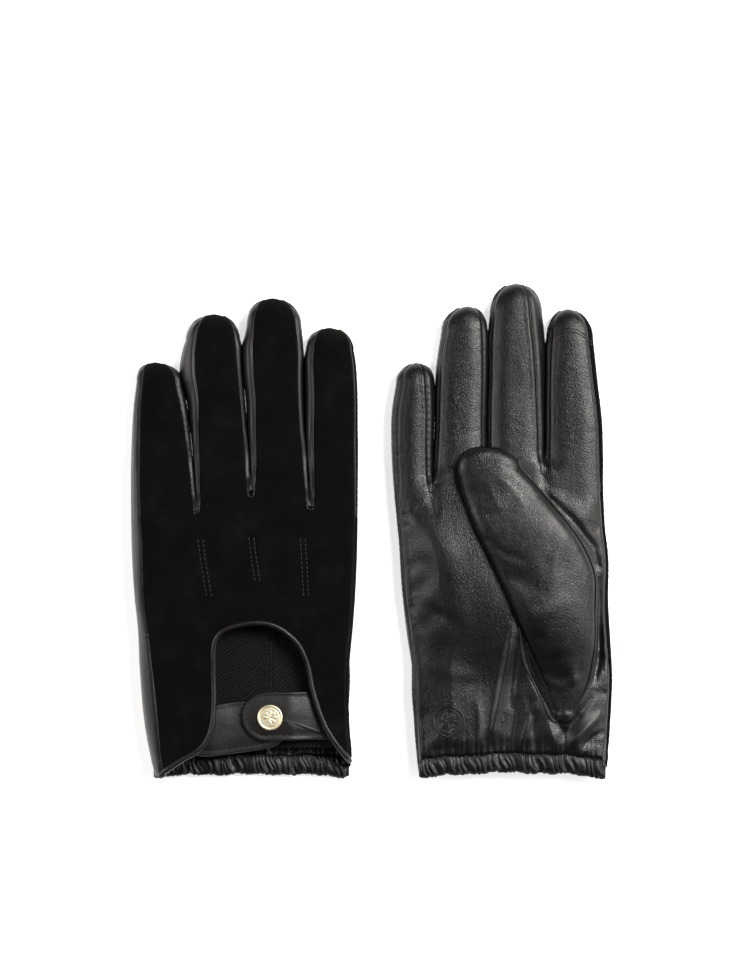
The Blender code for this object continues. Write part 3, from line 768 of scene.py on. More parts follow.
def dress_fingers(glove, grids):
    """Seams, unevenness and knuckle creases of the fingers."""
    for position, name in enumerate(FINGERS):
        first, _ = finger_columns(position)
        dressed = []
        for level, grid in enumerate(grids[name]):
            x, y = grid[..., 0], grid[..., 1]
            relief = np.zeros(x.shape)
            for seam in (first, first + STRIP):
                relief += seam_relief(np.abs(x - x[:, seam:seam + 1]), y + 1.3 * position)
            leather = (level == 0) == glove["palm_up"]
            seed = 3.0 + position + 10 * level + (50 if glove["palm_up"] else 0)
            own = smooth_step((y - fork_line(glove, position)) / 12.0)
            relief += common_relief(x, y, level) + own * 0.3 * field_noise(x, y * 0.6, 13.0, seed)
            if leather:
                for spot, height in ((0.86, 0.20), (0.62, 0.13), (0.33, 0.15)):
                    root, tip = glove["roots"][0], glove["fingers"][name]["tip"][1]
                    across = root + (tip - root) * spot + 0.10 * (x - x.mean())
                    relief -= own * height * bell(y - across, 1.1) \
                        * smooth_step(1.5 - np.abs(x - x.mean()) / 9.0) \
                        * (0.6 + 0.4 * np.sin(x * 0.9 + 7 * spot))
            tip = glove["fingers"][name]["tip"][1]
            fade = np.clip((tip - y) / 6.0, 0.0, 1.0)
            dressed.append(grid + normals(grid, level == 0) * (relief * fade)[..., None])
        join_rows(*dressed, (-1,))
        for column in (0, -1):
            shut = np.linalg.norm(grids[name][0][:, column] - grids[name][1][:, column],
                                  axis=-1) < 0.05
            middle = (dressed[0][:, column] + dressed[1][:, column]) / 2
            for grid in dressed:
                grid[shut, column] = middle[shut]
        grids[name] = tuple(dressed)


# ---- cutting the shell into its pieces ---------------------------------------------------------
def bend_at(side, part, motion, before, after):
    """Blend arguments at a joint: its two bodies, and two places off its axis, in metres."""
    joint = next(j for j in frame["joints"] if j["name"] == f"{side}_{part}_{motion}")
    places = [tuple(a + b for a, b in zip(joint["pos_m"], offset)) for offset in (before, after)]
    return (f"{side}_hand", f"{side}_{part}", *places)


def thicken(piece, thickness, rim=True):
    """Give a sheet its thickness, inwards."""
    solid = piece.modifiers.new("leather", "SOLIDIFY")
    solid.thickness = thickness * MM
    solid.offset = -1.0
    solid.use_rim = rim


def cut_finger(glove, grids, position):
    """The back, palm and fourchette skins of one finger, with its seams."""
    name, side = FINGERS[position], glove["side"]
    first, last = finger_columns(position)
    upper, lower = grids[name]
    ends = {"left": (0, first), "strip": (first, first + STRIP),
            "right": (first + STRIP, first + STRIP + last)}

    def part(grid, group, upward):
        start, stop = ends[group]
        return patch(grid[:, start:stop + 1], flip=not upward)

    palm_up = glove["palm_up"]
    back_skin, palm_skin = back_and_palm(glove, upper, lower)
    back = [part(back_skin, "strip", not palm_up)]
    palm = [part(palm_skin, "strip", palm_up)]
    walls = []
    for group in ("left", "right"):
        both = [part(upper, group, True), part(lower, group, False)]
        if group == "left" and position == 0:
            palm += both
        elif group == "right" and position == 3:
            back += both
        else:
            walls += both
            column = 0 if group == "left" else -1
            # a strip down the side of the finger's root, where its skins don't meet yet
            walls.append(patch(np.stack([upper[:, column], lower[:, column]], axis=1)))
    for column in (first, first + STRIP):
        for grid, lift in ((upper, 0.12), (lower, -0.12)):
            line = grid[:-2, column] + np.array([0.0, 0.0, lift])
            walls.append(tube(line, 0.40, 6))
    bend = bend_at(side, name, "bend", (0.0, -BEND_REACH, 0.0), (0.0, BEND_REACH, 0.0))
    nodes = [f"{side}_{name}_palm"] + ([f"{side}_index_touch_tip"] if name == "index" else [])
    for label, parts, material, replaced in (
            ("back", back, SUEDE, [f"{side}_{name}_back"]),
            ("palm", palm, PALM_LEATHER, nodes),
            ("fourchette", walls, THIN_LEATHER, [f"{side}_{name}_fourchette"])):
        make_piece(f"{side}_{name}_{label}_skin", parts, material, bend, replaced)


KEYHOLE = [(-98.4, -114.2), (-95.4, -111.2), (-88.0, -106.2), (-79.6, -101.0), (-74.6, -92.6),
           (-73.2, -80.0), (-73.4, -64.0), (-73.0, -52.6), (-69.4, -46.4), (-62.0, -43.4),
           (-53.3, -42.2), (-46.0, -43.2), (-39.6, -46.6), (-33.4, -52.8), (-29.4, -62.0),
           (-26.6, -75.0), (-21.6, -89.4), (-15.4, -99.6), (-9.6, -107.4)]


def keyhole_path(glove):
    """Rim of the keyhole, from one end at the wrist round to the other."""
    path = smooth_path(shifted(KEYHOLE, glove["keyhole_shift"]), 1.2)
    path[:, 0] = np.minimum(path[:, 0], along(glove["right_edge"], path[:, 1]) - 0.7)
    return path


def inside_outline(x, y, outline):
    """Whether plan points lie inside a closed outline."""
    inside = np.zeros(x.shape, bool)
    for (ax, ay), (bx, by) in zip(outline, np.roll(outline, -1, axis=0)):
        if ay == by:
            continue
        crosses = ((ay > y) != (by > y)) & (x < ax + (y - ay) / (by - ay) * (bx - ax))
        inside ^= crosses
    return inside


def cut_keyhole(grid, path):
    """Mask of the cells outside the keyhole, after its rim points are pulled onto the path."""
    outline = np.vstack([path, [path[-1][0] + 30, -112.0], [path[-1][0] + 30, -140.0],
                         [path[0][0] - 30, -140.0], [path[0][0] - 0.5, -118.0]])
    x, y = grid[..., 0], grid[..., 1]
    middle_x = (x[:-1, :-1] + x[1:, 1:] + x[:-1, 1:] + x[1:, :-1]) / 4
    middle_y = (y[:-1, :-1] + y[1:, 1:] + y[:-1, 1:] + y[1:, :-1]) / 4
    keep = ~inside_outline(middle_x, middle_y, outline)
    count = np.zeros(x.shape, int)
    for row in (slice(None, -1), slice(1, None)):
        for column in (slice(None, -1), slice(1, None)):
            count[row, column] += keep
    rim = (count > 0) & (count < 4)
    rim[0, :] = rim[:, 0] = rim[:, -1] = False
    for row, column in zip(*np.nonzero(rim)):
        away = np.hypot(path[:, 0] - x[row, column], path[:, 1] - y[row, column])
        nearest = int(np.argmin(away))
        if away[nearest] < 1.4:
            grid[row, column, :2] = path[nearest]
    return keep


def surface_height(grid, x, y):
    """Height of a grid at plan points: its four nearest points' mean, the nearer weighing more."""
    flat = grid.reshape(-1, 3)
    heights = []
    for a, b in zip(np.ravel(x), np.ravel(y)):
        away = (flat[:, 0] - a) ** 2 + (flat[:, 1] - b) ** 2
        near = np.argsort(away)[:4]
        weight = 1.0 / (away[near] + 0.05)
        heights.append(float((flat[near, 2] * weight).sum() / weight.sum()))
    return np.array(heights).reshape(np.shape(x))


def laid_on(grid, path, lift):
    """A plan path laid on a grid's surface, and raised by a lift."""
    return np.column_stack([path, surface_height(grid, path[:, 0], path[:, 1]) + lift])


def back_and_palm(glove, upper, lower):
    """A glove's two skins, the back first."""
    return (lower, upper) if glove["palm_up"] else (upper, lower)


def cut_hand(glove, grids):
    """The back and palm shells of the hand, and the binding round the keyhole."""
    side, palm_up = glove["side"], glove["palm_up"]
    upper, lower = grids["hand"]
    back_skin, palm_skin = back_and_palm(glove, upper, lower)
    count = upper.shape[1]
    path = keyhole_path(glove)
    back_skin = back_skin.copy()
    keep = cut_keyhole(back_skin, path)
    inner = slice(EDGE, count)
    back = [patch(back_skin[:, inner], flip=not palm_up, keep=keep[:, EDGE:]),
            patch(palm_skin[:, count - 1 - EDGE:], flip=palm_up)]
    palm = [patch(palm_skin[:, :count - EDGE], flip=palm_up),
            patch(back_skin[:, :EDGE + 1], flip=not palm_up)]
    for label, parts, material in (("back", back, SUEDE), ("palm", palm, PALM_LEATHER)):
        piece = make_piece(f"{side}_{label}_shell", parts, material, f"{side}_hand",
                           [f"{side}_{label}_panel"])
        thicken(piece, 0.8, rim=False)
    binding = tube(laid_on(back_skin, path, 0.1 if palm_up else -0.1), 1.35, 10, flat=0.9)
    make_piece(f"{side}_wrist_binding", [binding], THIN_LEATHER, f"{side}_hand",
               [f"{side}_keyhole_binding"])


def fork_loops(glove, grids):
    """Small rolled loops where two seams meet at each fork, on both skins."""
    side = glove["side"]
    for number in range(3):
        before, after = FINGERS[number], FINGERS[number + 1]
        first, _ = finger_columns(number)
        parts = []
        for level, lift in ((0, 0.12), (1, -0.12)):
            a = grids[before][level][0, first + STRIP]
            b = grids[after][level][0, FORK]
            middle = (a + b) / 2 - np.array([0.0, 1.9, 0.0])
            loop = smooth_path([a, (a + middle) / 2 - [0.3, 0.7, 0], middle,
                                (b + middle) / 2 - [-0.3, 0.7, 0], b], 0.5)
            loop[:, 2] += lift
            parts.append(tube(loop, 0.42, 6))
        node = f"{side}_fork_{before}_{after}"
        make_piece(f"{node}_loop", parts, THIN_LEATHER, f"{side}_hand", [node])


POINTS = [[(-79.3, -3.0), (-77.6, -16.0), (-75.1, -30.4)],
          [(-55.6, -2.0), (-54.4, -12.0), (-52.5, -24.0)],
          [(-31.6, -2.6), (-30.8, -16.0), (-30.0, -30.6)]]
MEDALLION = (36.7, -88.6)
MEDALLION_RADIUS = 6.9


def make_medallion(palm_skin):
    """Plain embossed mark: two rings round an eight-petalled flower."""
    cx, cy = MEDALLION
    turn = np.linspace(0.0, 2 * np.pi, 72, endpoint=False)
    loops = [(cx + r * np.cos(turn), cy + r * np.sin(turn), size)
             for r, size in ((MEDALLION_RADIUS, 0.55), (5.3, 0.34))]
    flower = 2.6 + 1.3 * np.cos(8 * turn)
    loops.append((cx + flower * np.cos(turn), cy + flower * np.sin(turn), 0.34))
    loops.append((cx + 0.8 * np.cos(turn[::6]), cy + 0.8 * np.sin(turn[::6]), 0.3))
    parts = []
    for x, y, size in loops:
        ring = laid_on(palm_skin, np.column_stack([x, y]), -0.1 * size)
        parts.append(tube(ring, size, 8, closed=True))
    make_piece("right_medallion", parts, PALM_LEATHER, "right_hand", weld=0)


TOUCH_ARC = [(82.6, 88.6), (86.8, 92.6), (92.2, 94.6), (98.0, 93.2), (103.6, 88.4)]
GUSSET = [(69.6, -44.0), (70.1, -49.4), (71.2, -59.9), (75.1, -68.2), (79.4, -77.0), (83.9, -86.5),
          (86.5, -88.6), (88.4, -86.8)]
SLIT = [(71.6, -51.0), (73.4, -60.0), (77.2, -69.0), (82.0, -78.5), (85.6, -86.0)]


def make_palm_seams(glove, grids):
    """Twin seam of the fingertip patch, and the seam of the strip at the thumb's root."""
    side, palm_up = glove["side"], glove["palm_up"]
    shift = np.array(glove["thumb_shift"])
    level, lift = (0, 1.0) if palm_up else (1, -1.0)
    parts = []
    tip = np.array(glove["fingers"]["index"]["tip"]) - RIGHT["fingers"]["index"]["tip"]
    for offset in (-0.75, 0.75):
        path = smooth_path(TOUCH_ARC, 0.8) + tip + [0.0, offset]
        parts.append(tube(laid_on(grids["index"][level], path, lift * 0.05), 0.26, 6))
    make_piece(f"{side}_index_tip_seam", parts, THIN_LEATHER, f"{side}_index", weld=0)
    if palm_up:
        path = smooth_path(GUSSET, 0.9) + shift
        seam = tube(laid_on(grids["hand"][level], path, lift * 0.12), 0.62, 8)
        make_piece(f"{side}_thumb_root_seam", [seam], THIN_LEATHER, f"{side}_hand", weld=0)
        path = smooth_path(SLIT, 0.9) + shift
        width = 0.25 + 1.15 * np.sin(np.pi * np.linspace(0.0, 1.0, len(path))) ** 0.8
        slit = tube(laid_on(grids["hand"][level], path, lift * 0.1), width, 8, flat=0.3)
        make_piece(f"{side}_thumb_slit", [slit], LINING, f"{side}_hand", weld=0)


PALM_FOLDS = [  # path, width, height
    ([(66.5, -42.0), (63.6, -60.4), (60.0, -80.0), (56.0, -99.0)], 1.7, 1.5),
    ([(69.0, -48.0), (67.0, -64.0), (65.0, -84.0)], 1.7, -1.1),
    ([(71.4, -50.0), (73.4, -60.4), (77.5, -70.0), (84.4, -84.0)], 1.3, -1.5),
    ([(85.0, -86.0), (90.0, -93.0), (94.0, -103.0)], 1.6, -0.9),
    ([(82.0, -88.0), (85.0, -95.0), (87.0, -103.0)], 1.7, 1.0),
    ([(74.0, -76.0), (76.0, -88.0), (77.0, -102.0)], 1.6, -0.7),
    ([(30.0, 14.0), (34.0, -8.0), (41.0, -30.0), (46.0, -52.0)], 6.0, 0.7),
    ([(21.0, -30.0), (30.0, -38.0), (44.0, -44.0)], 3.0, -0.5),
    ([(23.0, -60.0), (36.0, -66.0), (52.0, -68.0)], 3.4, 0.5),
    ([(78.0, 21.0), (94.0, 6.0), (104.6, -7.0), (107.4, -18.0)], 1.6, -1.3),
    ([(107.6, -20.0), (108.0, -38.0), (107.2, -58.0), (104.0, -72.0)], 1.7, -1.4),
    ([(88.0, -98.0), (96.0, -88.0), (104.0, -76.0)], 1.7, -1.2),
    ([(92.0, -101.0), (101.0, -91.0), (109.0, -84.0)], 1.7, 1.2),
    ([(98.0, -102.0), (104.0, -96.0), (110.0, -93.0)], 1.4, -0.9),
    ([(104.0, -72.0), (107.5, -60.0), (108.5, -44.0)], 1.6, -0.8),
    ([(70.0, -102.0), (73.0, -92.0), (77.0, -80.0)], 1.7, 0.9),
    ([(62.0, -102.0), (66.0, -92.0), (69.0, -76.0)], 1.4, -0.7),
    ([(50.0, -101.0), (51.0, -90.0), (50.0, -78.0)], 1.8, 0.5),
    ([(30.0, -102.0), (33.0, -94.0), (40.0, -80.0)], 2.0, 0.5),
    ([(12.5, 6.0), (24.0, 10.0), (33.0, 8.0)], 2.4, -0.35),
]


def dress_hand(glove, grids):
    """Seams, folds, gathers and points of the hand."""
    count = grids["hand"][0].shape[1]
    dressed = []
    for level, grid in enumerate(grids["hand"]):
        x, y = grid[..., 0], grid[..., 1]
        leather = (level == 0) == glove["palm_up"]
        seed = 5.0 + 10 * level + (50 if glove["palm_up"] else 0)
        relief = np.zeros(x.shape)
        for seam in (EDGE, count - 1 - EDGE):
            relief += seam_relief(np.abs(x - x[:, seam:seam + 1]), y)
        relief += common_relief(x, y, level)
        if leather:
            for path, width, height in PALM_FOLDS:
                relief += stroke(x, y, shifted(path, glove["thumb_shift"][0]), width, height)
            above_hem = np.clip(y - hem_line(glove, x) - 6.0, 0.0, 60.0)
            relief -= 0.9 * (gathers(glove, x) - 0.5) * np.exp(-above_hem / 3.4)
            relief += 0.10 * field_noise(x, y * 0.8, 9.0, seed + 3)
            below = smooth_step((glove["roots"][0] - y) / 22.0)
            relief += 1.5 * below * field_noise(x, y, 40.0, seed + 8)
            relief += 0.5 * below * field_noise(x, y, 19.0, seed + 9)
        else:
            for line in POINTS:
                away, share = path_distance(x, y, shifted(line, glove["keyhole_shift"]))
                ends = np.clip(share * (1 - share) * 30, 0, 1)
                relief += ends * (0.45 * bell(away, 0.8)
                                  - 0.3 * bell(away - 1.5, 0.5))
        for fork_x, fork_y in glove["forks"]:
            valley = [(fork_x, fork_y), (fork_x + 0.3, fork_y - 14.0)]
            away, share = path_distance(x, y, valley)
            relief -= 0.8 * bell(away, 2.6) * (1 - share)
        relief[:, 0] = relief[:, -1] = 0.0
        dressed.append(grid + normals(grid, level == 0) * relief[..., None])
    grids["hand"] = tuple(dressed)


def match_forks(grids):
    """Give each finger's first row the hand's dressed fork row, so that they meet."""
    start = 0
    for position, name in enumerate(FINGERS):
        width = grids[name][0].shape[1]
        for level in (0, 1):
            finger, hand = grids[name][level], grids["hand"][level]
            step = hand[0, start:start + width] - finger[0]
            for row in range(8):
                finger[row] = finger[row] + step * (1.0 - smooth_step(row / 8.0))
        start += width - 1


# ---- thumb -------------------------------------------------------------------------------------
def thumb_grids(glove):
    """Upper and lower skin of the thumb, from its rounded tip down to its point."""
    shift_x, shift_y = glove["thumb_shift"]
    rows = []
    for angle in np.radians(np.linspace(86.0, 6.0, 14)):
        rows.append((30.0 + (THUMB_TIP[1] - 30.0) * math.sin(angle), math.cos(angle) ** 0.9,
                     math.sin(angle) ** 2))
    rows += [(y, 1.0, 0.0) for y in np.linspace(30.0, -84.0, 96)]
    for angle in np.radians(np.linspace(8.0, 86.0, 9)):
        rows.append((-84.0 - 5.4 * math.sin(angle), math.cos(angle) ** 0.9, 0.0))
    columns = np.linspace(0.0, 1.0, 35)
    upper, lower = [], []
    for y, shrink, lean in rows:
        held = np.array(min(max(y, -84.0), 30.0))
        left, right = float(along(THUMB_LEFT[::-1], held)), float(along(THUMB_RIGHT[::-1], held))
        middle, half = (left + right) / 2, (right - left) / 2
        middle += (THUMB_TIP[0] - middle) * lean
        x = middle + (columns * 2 - 1) * half * shrink
        inside = 1.0 - np.hypot((columns * 2 - 1) * shrink, math.sqrt(max(1 - shrink**2.2, 0)))
        tip = np.full(x.shape, FAR) if shrink == 1.0 else np.clip(inside, 0, 1) * half
        seam_reach = 9.0 + 8.0 * float(smooth_step((0.0 - y) / 30.0))
        shape = rounding(tip, 9.0)
        if shrink == 1.0:
            shape = rounding(x - left, 8.5) * rounding(right - x, seam_reach)
        depth = 2.6 + 4.3 * float(smooth_step((y + 92.0) / 62.0))
        ys = np.full(x.shape, y)
        if glove["palm_up"]:
            base = skins(glove, x, ys)[1] + 0.5
            rim = base + 0.30 * depth
            top = rim + (depth * 0.70) * shape
            bottom = rim - 0.28 * depth * rounding(tip, 4.0) * \
                (rounding(x - x[0], 4.0) * rounding(x[-1] - x, 4.0))
        else:
            rim = np.full(x.shape, 2.8)
            flat = rounding(x - x[0], 4.0) * rounding(x[-1] - x, 4.0) * rounding(tip, 4.0)
            top, bottom = rim + 3.3 * flat, rim - 2.7 * flat
        upper.append(np.column_stack([x + shift_x, ys + shift_y, top]))
        lower.append(np.column_stack([x + shift_x, ys + shift_y, bottom]))
    upper, lower = np.array(upper), np.array(lower)
    join_rows(upper, lower, (0, -1))
    return upper, lower


THUMB_FOLDS = [
    ([(92.0, 2.0), (86.0, -12.0), (84.0, -30.0)], 3.0, 0.5),
    ([(52.0, -2.0), (62.0, -10.0), (74.0, -14.0)], 1.6, -0.35),
    ([(46.0, 12.0), (56.0, 8.0), (66.0, 10.0)], 1.5, -0.3),
    ([(76.0, -58.0), (84.0, -60.0), (93.0, -56.0)], 2.0, -0.4),
    ([(80.0, -68.0), (88.0, -72.0), (98.0, -68.0)], 1.7, 0.45),
    ([(70.0, -40.0), (80.0, -38.0), (92.0, -30.0)], 3.2, 0.4),
]


def make_thumb(glove):
    """The thumb: its outer face let go as cloth and folded, and the seam down its side."""
    side = glove["side"]
    shift_x, shift_y = glove["thumb_shift"]
    upper, lower = thumb_grids(glove)
    outer, sign = (upper, True) if glove["palm_up"] else (lower, False)
    held = np.zeros(outer.shape[:2], bool)
    held[:3] = held[-3:] = held[:, :2] = held[:, -2:] = True
    outer += settle(outer, held, -CLOTH_PUSH if sign else CLOTH_PUSH, THUMB_GROWTH)
    x, y = outer[..., 0] - shift_x, outer[..., 1] - shift_y
    relief = 0.9 * field_noise(x, y, 26.0, 71.0) + 0.04 * field_noise(x, y, 6.0, 73.0)
    for path, width, height in THUMB_FOLDS:
        relief += stroke(x, y, path, width, height)
    relief[:, 0] = relief[:, -1] = relief[0] = relief[-1] = 0.0
    outer += normals(outer, sign) * relief[..., None]
    bend = bend_at(side, "thumb", "spread", (-0.004, 0.0, 0.0), (-0.017, 0.0, 0.0))
    seam = np.vstack([outer[10:-6, -1]])
    seam[:, 2] += 0.35 if glove["palm_up"] else -0.2
    parts = [patch(upper, flip=False), patch(lower, flip=True)]
    make_piece(f"{side}_thumb_skin", parts, PALM_LEATHER, bend,
               [f"{side}_thumb_front", f"{side}_thumb_back"])
    make_piece(f"{side}_thumb_seam", [tube(seam, 0.5, 6)], THIN_LEATHER, bend,
               [f"{side}_thumb_gusset"])


# ---- strap, snap, hem and lining ---------------------------------------------------------------
def pillow_slab(outline, level, rings=(1.0, 0.985, 0.955, 0.90, 0.84, 0.78, 0.6, 0.35, 0.12)):
    """Domed sheet over a nearly round outline: level(x, y, edge distance) gives its heights."""
    outline = np.asarray(outline, float)
    centre = outline.mean(axis=0)
    loops = np.array([centre + (outline - centre) * ring for ring in rings])
    closed = np.vstack([outline, outline[:1]])
    away, _ = path_distance(loops[..., 0], loops[..., 1], closed)
    tops, bottoms = level(loops[..., 0], loops[..., 1], away)
    count = len(outline)
    size = len(rings) * count
    points, faces = [], []
    for start, heights, turn in ((0, tops, 1), (size, bottoms, -1)):
        points.append(np.concatenate([loops, heights[..., None]], axis=-1).reshape(-1, 3))
        faces += [face[::turn] for face in ring_quads(len(rings), count, start)]
        faces.append(tuple(range(start + size - count, start + size))[::turn])
    for step in range(count):
        after = (step + 1) % count
        faces.append((step, size + step, size + after, after))
    return np.vstack(points), faces


def stitches(path, pitch=2.5, length=1.7, radius=0.24):
    """Thread stitches as short sunk capsules along a path of points."""
    path = np.asarray(path, float)
    lengths = np.concatenate([[0.0], np.cumsum(np.linalg.norm(np.diff(path, axis=0), axis=1))])
    parts = []
    for start in np.arange(0.4, lengths[-1] - length, pitch):
        spots = np.linspace(start, start + length, 5)
        line = np.stack([np.interp(spots, lengths, path[:, axis]) for axis in range(3)], axis=1)
        line[0, 2] -= 0.12
        line[-1, 2] -= 0.12
        parts.append(tube(line, radius * np.array([0.55, 0.95, 1.0, 0.95, 0.55]), 6))
    return parts


STRAP_END, STRAP_ROOT = -59.9, -24.2
STRAP_TOP, STRAP_FOOT = -75.0, -97.2
SNAP = (-46.9, -86.4)
UNDER_TAB = [(-86.0, -86.0), (-78.0, -82.4), (-69.6, -80.2), (-60.0, -79.0), (-50.0, -79.2),
             (-43.0, -82.0), (-40.6, -89.0), (-41.0, -96.0), (-45.0, -100.2), (-56.0, -102.4),
             (-68.0, -104.0), (-79.7, -104.6), (-86.0, -101.0), (-88.0, -94.0)]


def strap_outline():
    """Plan of the strap: a round end, two long sides and a slanted root."""
    half, middle = (STRAP_TOP - STRAP_FOOT) / 2, (STRAP_TOP + STRAP_FOOT) / 2
    outline = [(x, STRAP_FOOT + 0.2 * (x - STRAP_END) / 35.7)
               for x in np.linspace(STRAP_ROOT + 9.0, -48.6, 20)]
    for angle in np.radians(np.linspace(265.0, 95.0, 26)):
        outline.append((STRAP_END + half + half * math.cos(angle),
                        middle + half * math.sin(angle)))
    outline += [(x, STRAP_TOP + 0.4) for x in np.linspace(-48.0, STRAP_ROOT, 14)]
    outline += [(STRAP_ROOT + 8.5 * share,
                 STRAP_TOP - 2.0 + (STRAP_FOOT + 2.5 - STRAP_TOP) * share)
                for share in np.linspace(0.0, 1.0, 8)]
    return np.array(outline)


def inset_path(outline, distance):
    """A closed outline moved inwards."""
    ahead = np.roll(outline, -1, axis=0) - np.roll(outline, 1, axis=0)
    ahead /= np.linalg.norm(ahead, axis=1)[:, None]
    inward = np.column_stack([-ahead[:, 1], ahead[:, 0]])
    centre = outline.mean(axis=0)
    if ((centre - outline) * inward).sum() < 0:
        inward = -inward
    return outline + inward * distance


def make_slab(name, outline, level, body, node, outward, inset, run, stitch_radius):
    """Stitched leather slab standing for a CAD node; run is the stretch of edge that is sewn."""
    make_piece(f"{name}_leather", [pillow_slab(outline, level)],
               STRAP_LEATHER, body, [node], weld=0)
    path = inset_path(outline, inset)[run]
    high, low = level(path[:, 0], path[:, 1], np.full(len(path), inset))
    line = np.column_stack([path, (high if outward > 0 else low) + outward * 0.06])
    length = 1.8
    make_piece(f"{name}_stitches", stitches(line, 2.6, length, stitch_radius), THREAD, body,
               weld=0)


def make_strap(glove):
    """The snap strap, the tab under it and the snap's cap."""
    side = glove["side"]
    shift = np.array([glove["keyhole_shift"], 0.0])
    outward = -1.0 if glove["palm_up"] else 1.0
    strap_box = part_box(f"{side}_strap_tab")
    face = (strap_box[1][2] if outward > 0 else strap_box[0][2]) / MM
    tab_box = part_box(f"{side}_under_tab")
    tab_face = (tab_box[1][2] if outward > 0 else tab_box[0][2]) / MM
    bend = bend_at(side, "strap", "open", (0.002, 0.0, 0.0), (-0.0035, 0.0, 0.0))

    def strap_level(x, y, away):
        skin = 0.75 + 0.35 * rounding(away, 0.8) - 0.45 * bell(away - 2.0, 0.55)
        sunk = 0.55 * np.exp(-((np.hypot(x - SNAP[0] - shift[0], y - SNAP[1]) / 7.6) ** 4))
        dip = 3.0 * smooth_step((x - shift[0] + 38.0) / 11.0)
        skin = skin + 0.9 * smooth_step(away / 11.0) \
            + 0.25 * stroke(x, y, [(-34 + shift[0], -78), (-38 + shift[0], -95)], 1.2, 1.0) \
            - 0.3 * stroke(x, y, [(-31 + shift[0], -77), (-34 + shift[0], -96)], 1.0, 1.0) \
            + 0.18 * field_noise(x, y, 7.0, 33.0)
        outer = face + outward * (skin - 0.9 - sunk * 0.4 - dip)
        inner = face - outward * (1.0 * rounding(away + 0.15, 0.5) + dip)
        return (outer, inner) if outward > 0 else (inner, outer)

    def tab_level(x, y, away):
        depth = 0.5 + 1.6 * smooth_step((x - shift[0] + 76.0) / 16.0) \
            - 0.8 * smooth_step(away / 9.0) - 0.25 * field_noise(x, y, 8.0, 35.0)
        outer = tab_face - outward * (depth - 0.6 * rounding(away, 1.0)
                                      + 0.25 * bell(away - 2.2, 0.5))
        inner = tab_face - outward * (depth + 0.9)
        return (outer, inner) if outward > 0 else (inner, outer)

    make_slab(f"{side}_strap", strap_outline() + shift, strap_level, bend, f"{side}_strap_tab",
              outward, 2.0, slice(3, 58), 0.3)
    tab = smooth_path(UNDER_TAB + UNDER_TAB[:1], 1.3)[:-1] + shift
    make_slab(f"{side}_under_tab", tab, tab_level, f"{side}_hand", f"{side}_under_tab",
              outward, 2.2, slice(None), 0.26)
    make_snap(side, shift, outward)


def make_snap(side, shift, outward):
    """Gilt cap with a rolled rim, a beaded ring and a plain eight-petalled flower."""
    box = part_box(f"{side}_snap_cap")
    low, high = box[0][2] / MM, box[1][2] / MM
    base, depth = (low, high - low) if outward > 0 else (high, low - high)
    radii = np.concatenate([[0.0], np.linspace(0.3, 5.9, 36), [5.9, 5.4]])
    angles = np.linspace(0.0, 2 * np.pi, 96, endpoint=False)
    r, a = np.meshgrid(radii, angles, indexing="ij")
    height = 0.80 - 0.05 * (r / 5.9) ** 2
    height += 0.07 * bell(r - 5.35, 0.3)
    height -= 0.05 * bell(r - 4.6, 0.22)
    petal = 2.0 + 1.3 * np.abs(np.cos(4 * a))
    height += 0.075 * smooth_step((petal - r) / 0.4) * (0.6 + 0.4 * np.cos(8 * a))
    height -= 0.06 * bell(r, 0.7)
    height[-3] = 0.68
    height[-2], height[-1] = 0.12, 0.0
    points = np.stack([SNAP[0] + shift[0] + r * np.cos(a), SNAP[1] + r * np.sin(a),
                       base + depth * height], axis=-1)
    faces = [(a, d, c, b) if outward > 0 else (b, c, d, a)
             for a, b, c, d in ring_quads(len(radii), len(angles))]
    make_piece(f"{side}_snap_button", [(points.reshape(-1, 3), faces)], GILT, f"{side}_strap",
               [f"{side}_snap_cap"], weld=0.01)
    for node in ("snap_stud", "snap_socket"):
        body = frame["nodes"][f"{side}_{node}"]
        body.data.materials.clear()
        body.data.materials.append(GILT)


def make_hem(glove):
    """Elasticated hem: a flat tube bunched into small pleats along the palm side of the wrist."""
    side, palm_up = glove["side"], glove["palm_up"]
    left = float(along(glove["left_edge"], np.array(-108.0))) + 0.6
    right = float(along(glove["right_edge"], np.array(-108.0))) - 0.6
    x = np.arange(left, right, 0.5)
    angles = np.linspace(0.0, 2 * np.pi, 36, endpoint=False)
    xs, a = np.meshgrid(x, angles, indexing="ij")
    skew = xs + 1.5 * np.cos(a) + 0.5 * np.sin(2 * a + xs * 0.4)
    valley = gathers(glove, skew)
    swell = 1.0 - 0.58 * valley
    ends = np.clip(np.minimum(xs - left, right - xs) / 3.5, 0.0, 1.0) ** 0.5
    centre_y = hem_line(glove, xs) - 0.6 * np.exp(-((xs - left) / 9.0) ** 2) \
        - 0.6 * np.exp(-((right - xs) / 9.0) ** 2)
    half = 5.1 * (0.80 + 0.20 * swell) * (0.75 + 0.25 * ends)
    y = centre_y + half * np.cos(a)
    centre_z = 11.3 if palm_up else 3.1
    thick = 2.7 * swell * (0.35 + 0.65 * ends)
    z = centre_z + np.sign(np.sin(a)) * np.abs(np.sin(a)) ** 0.85 * thick
    points = np.stack([xs, y, z], axis=-1)
    rows, columns = xs.shape
    faces = [face[::-1] for face in ring_quads(rows, columns)]
    faces.append(tuple(range(columns)))
    faces.append(tuple(range((rows - 1) * columns, rows * columns))[::-1])
    make_piece(f"{side}_hem", [(points.reshape(-1, 3), faces)], PALM_LEATHER, f"{side}_hand",
               [f"{side}_hem_casing", f"{side}_hem_elastic"], weld=0)
    line = np.column_stack([x, centre_y[:, 0] + 3.9, centre_z + thick[:, 0] * 0.72])
    make_piece(f"{side}_hem_stitches", stitches(line, 2.6, 1.7, 0.22), THREAD, f"{side}_hand",
               weld=0)


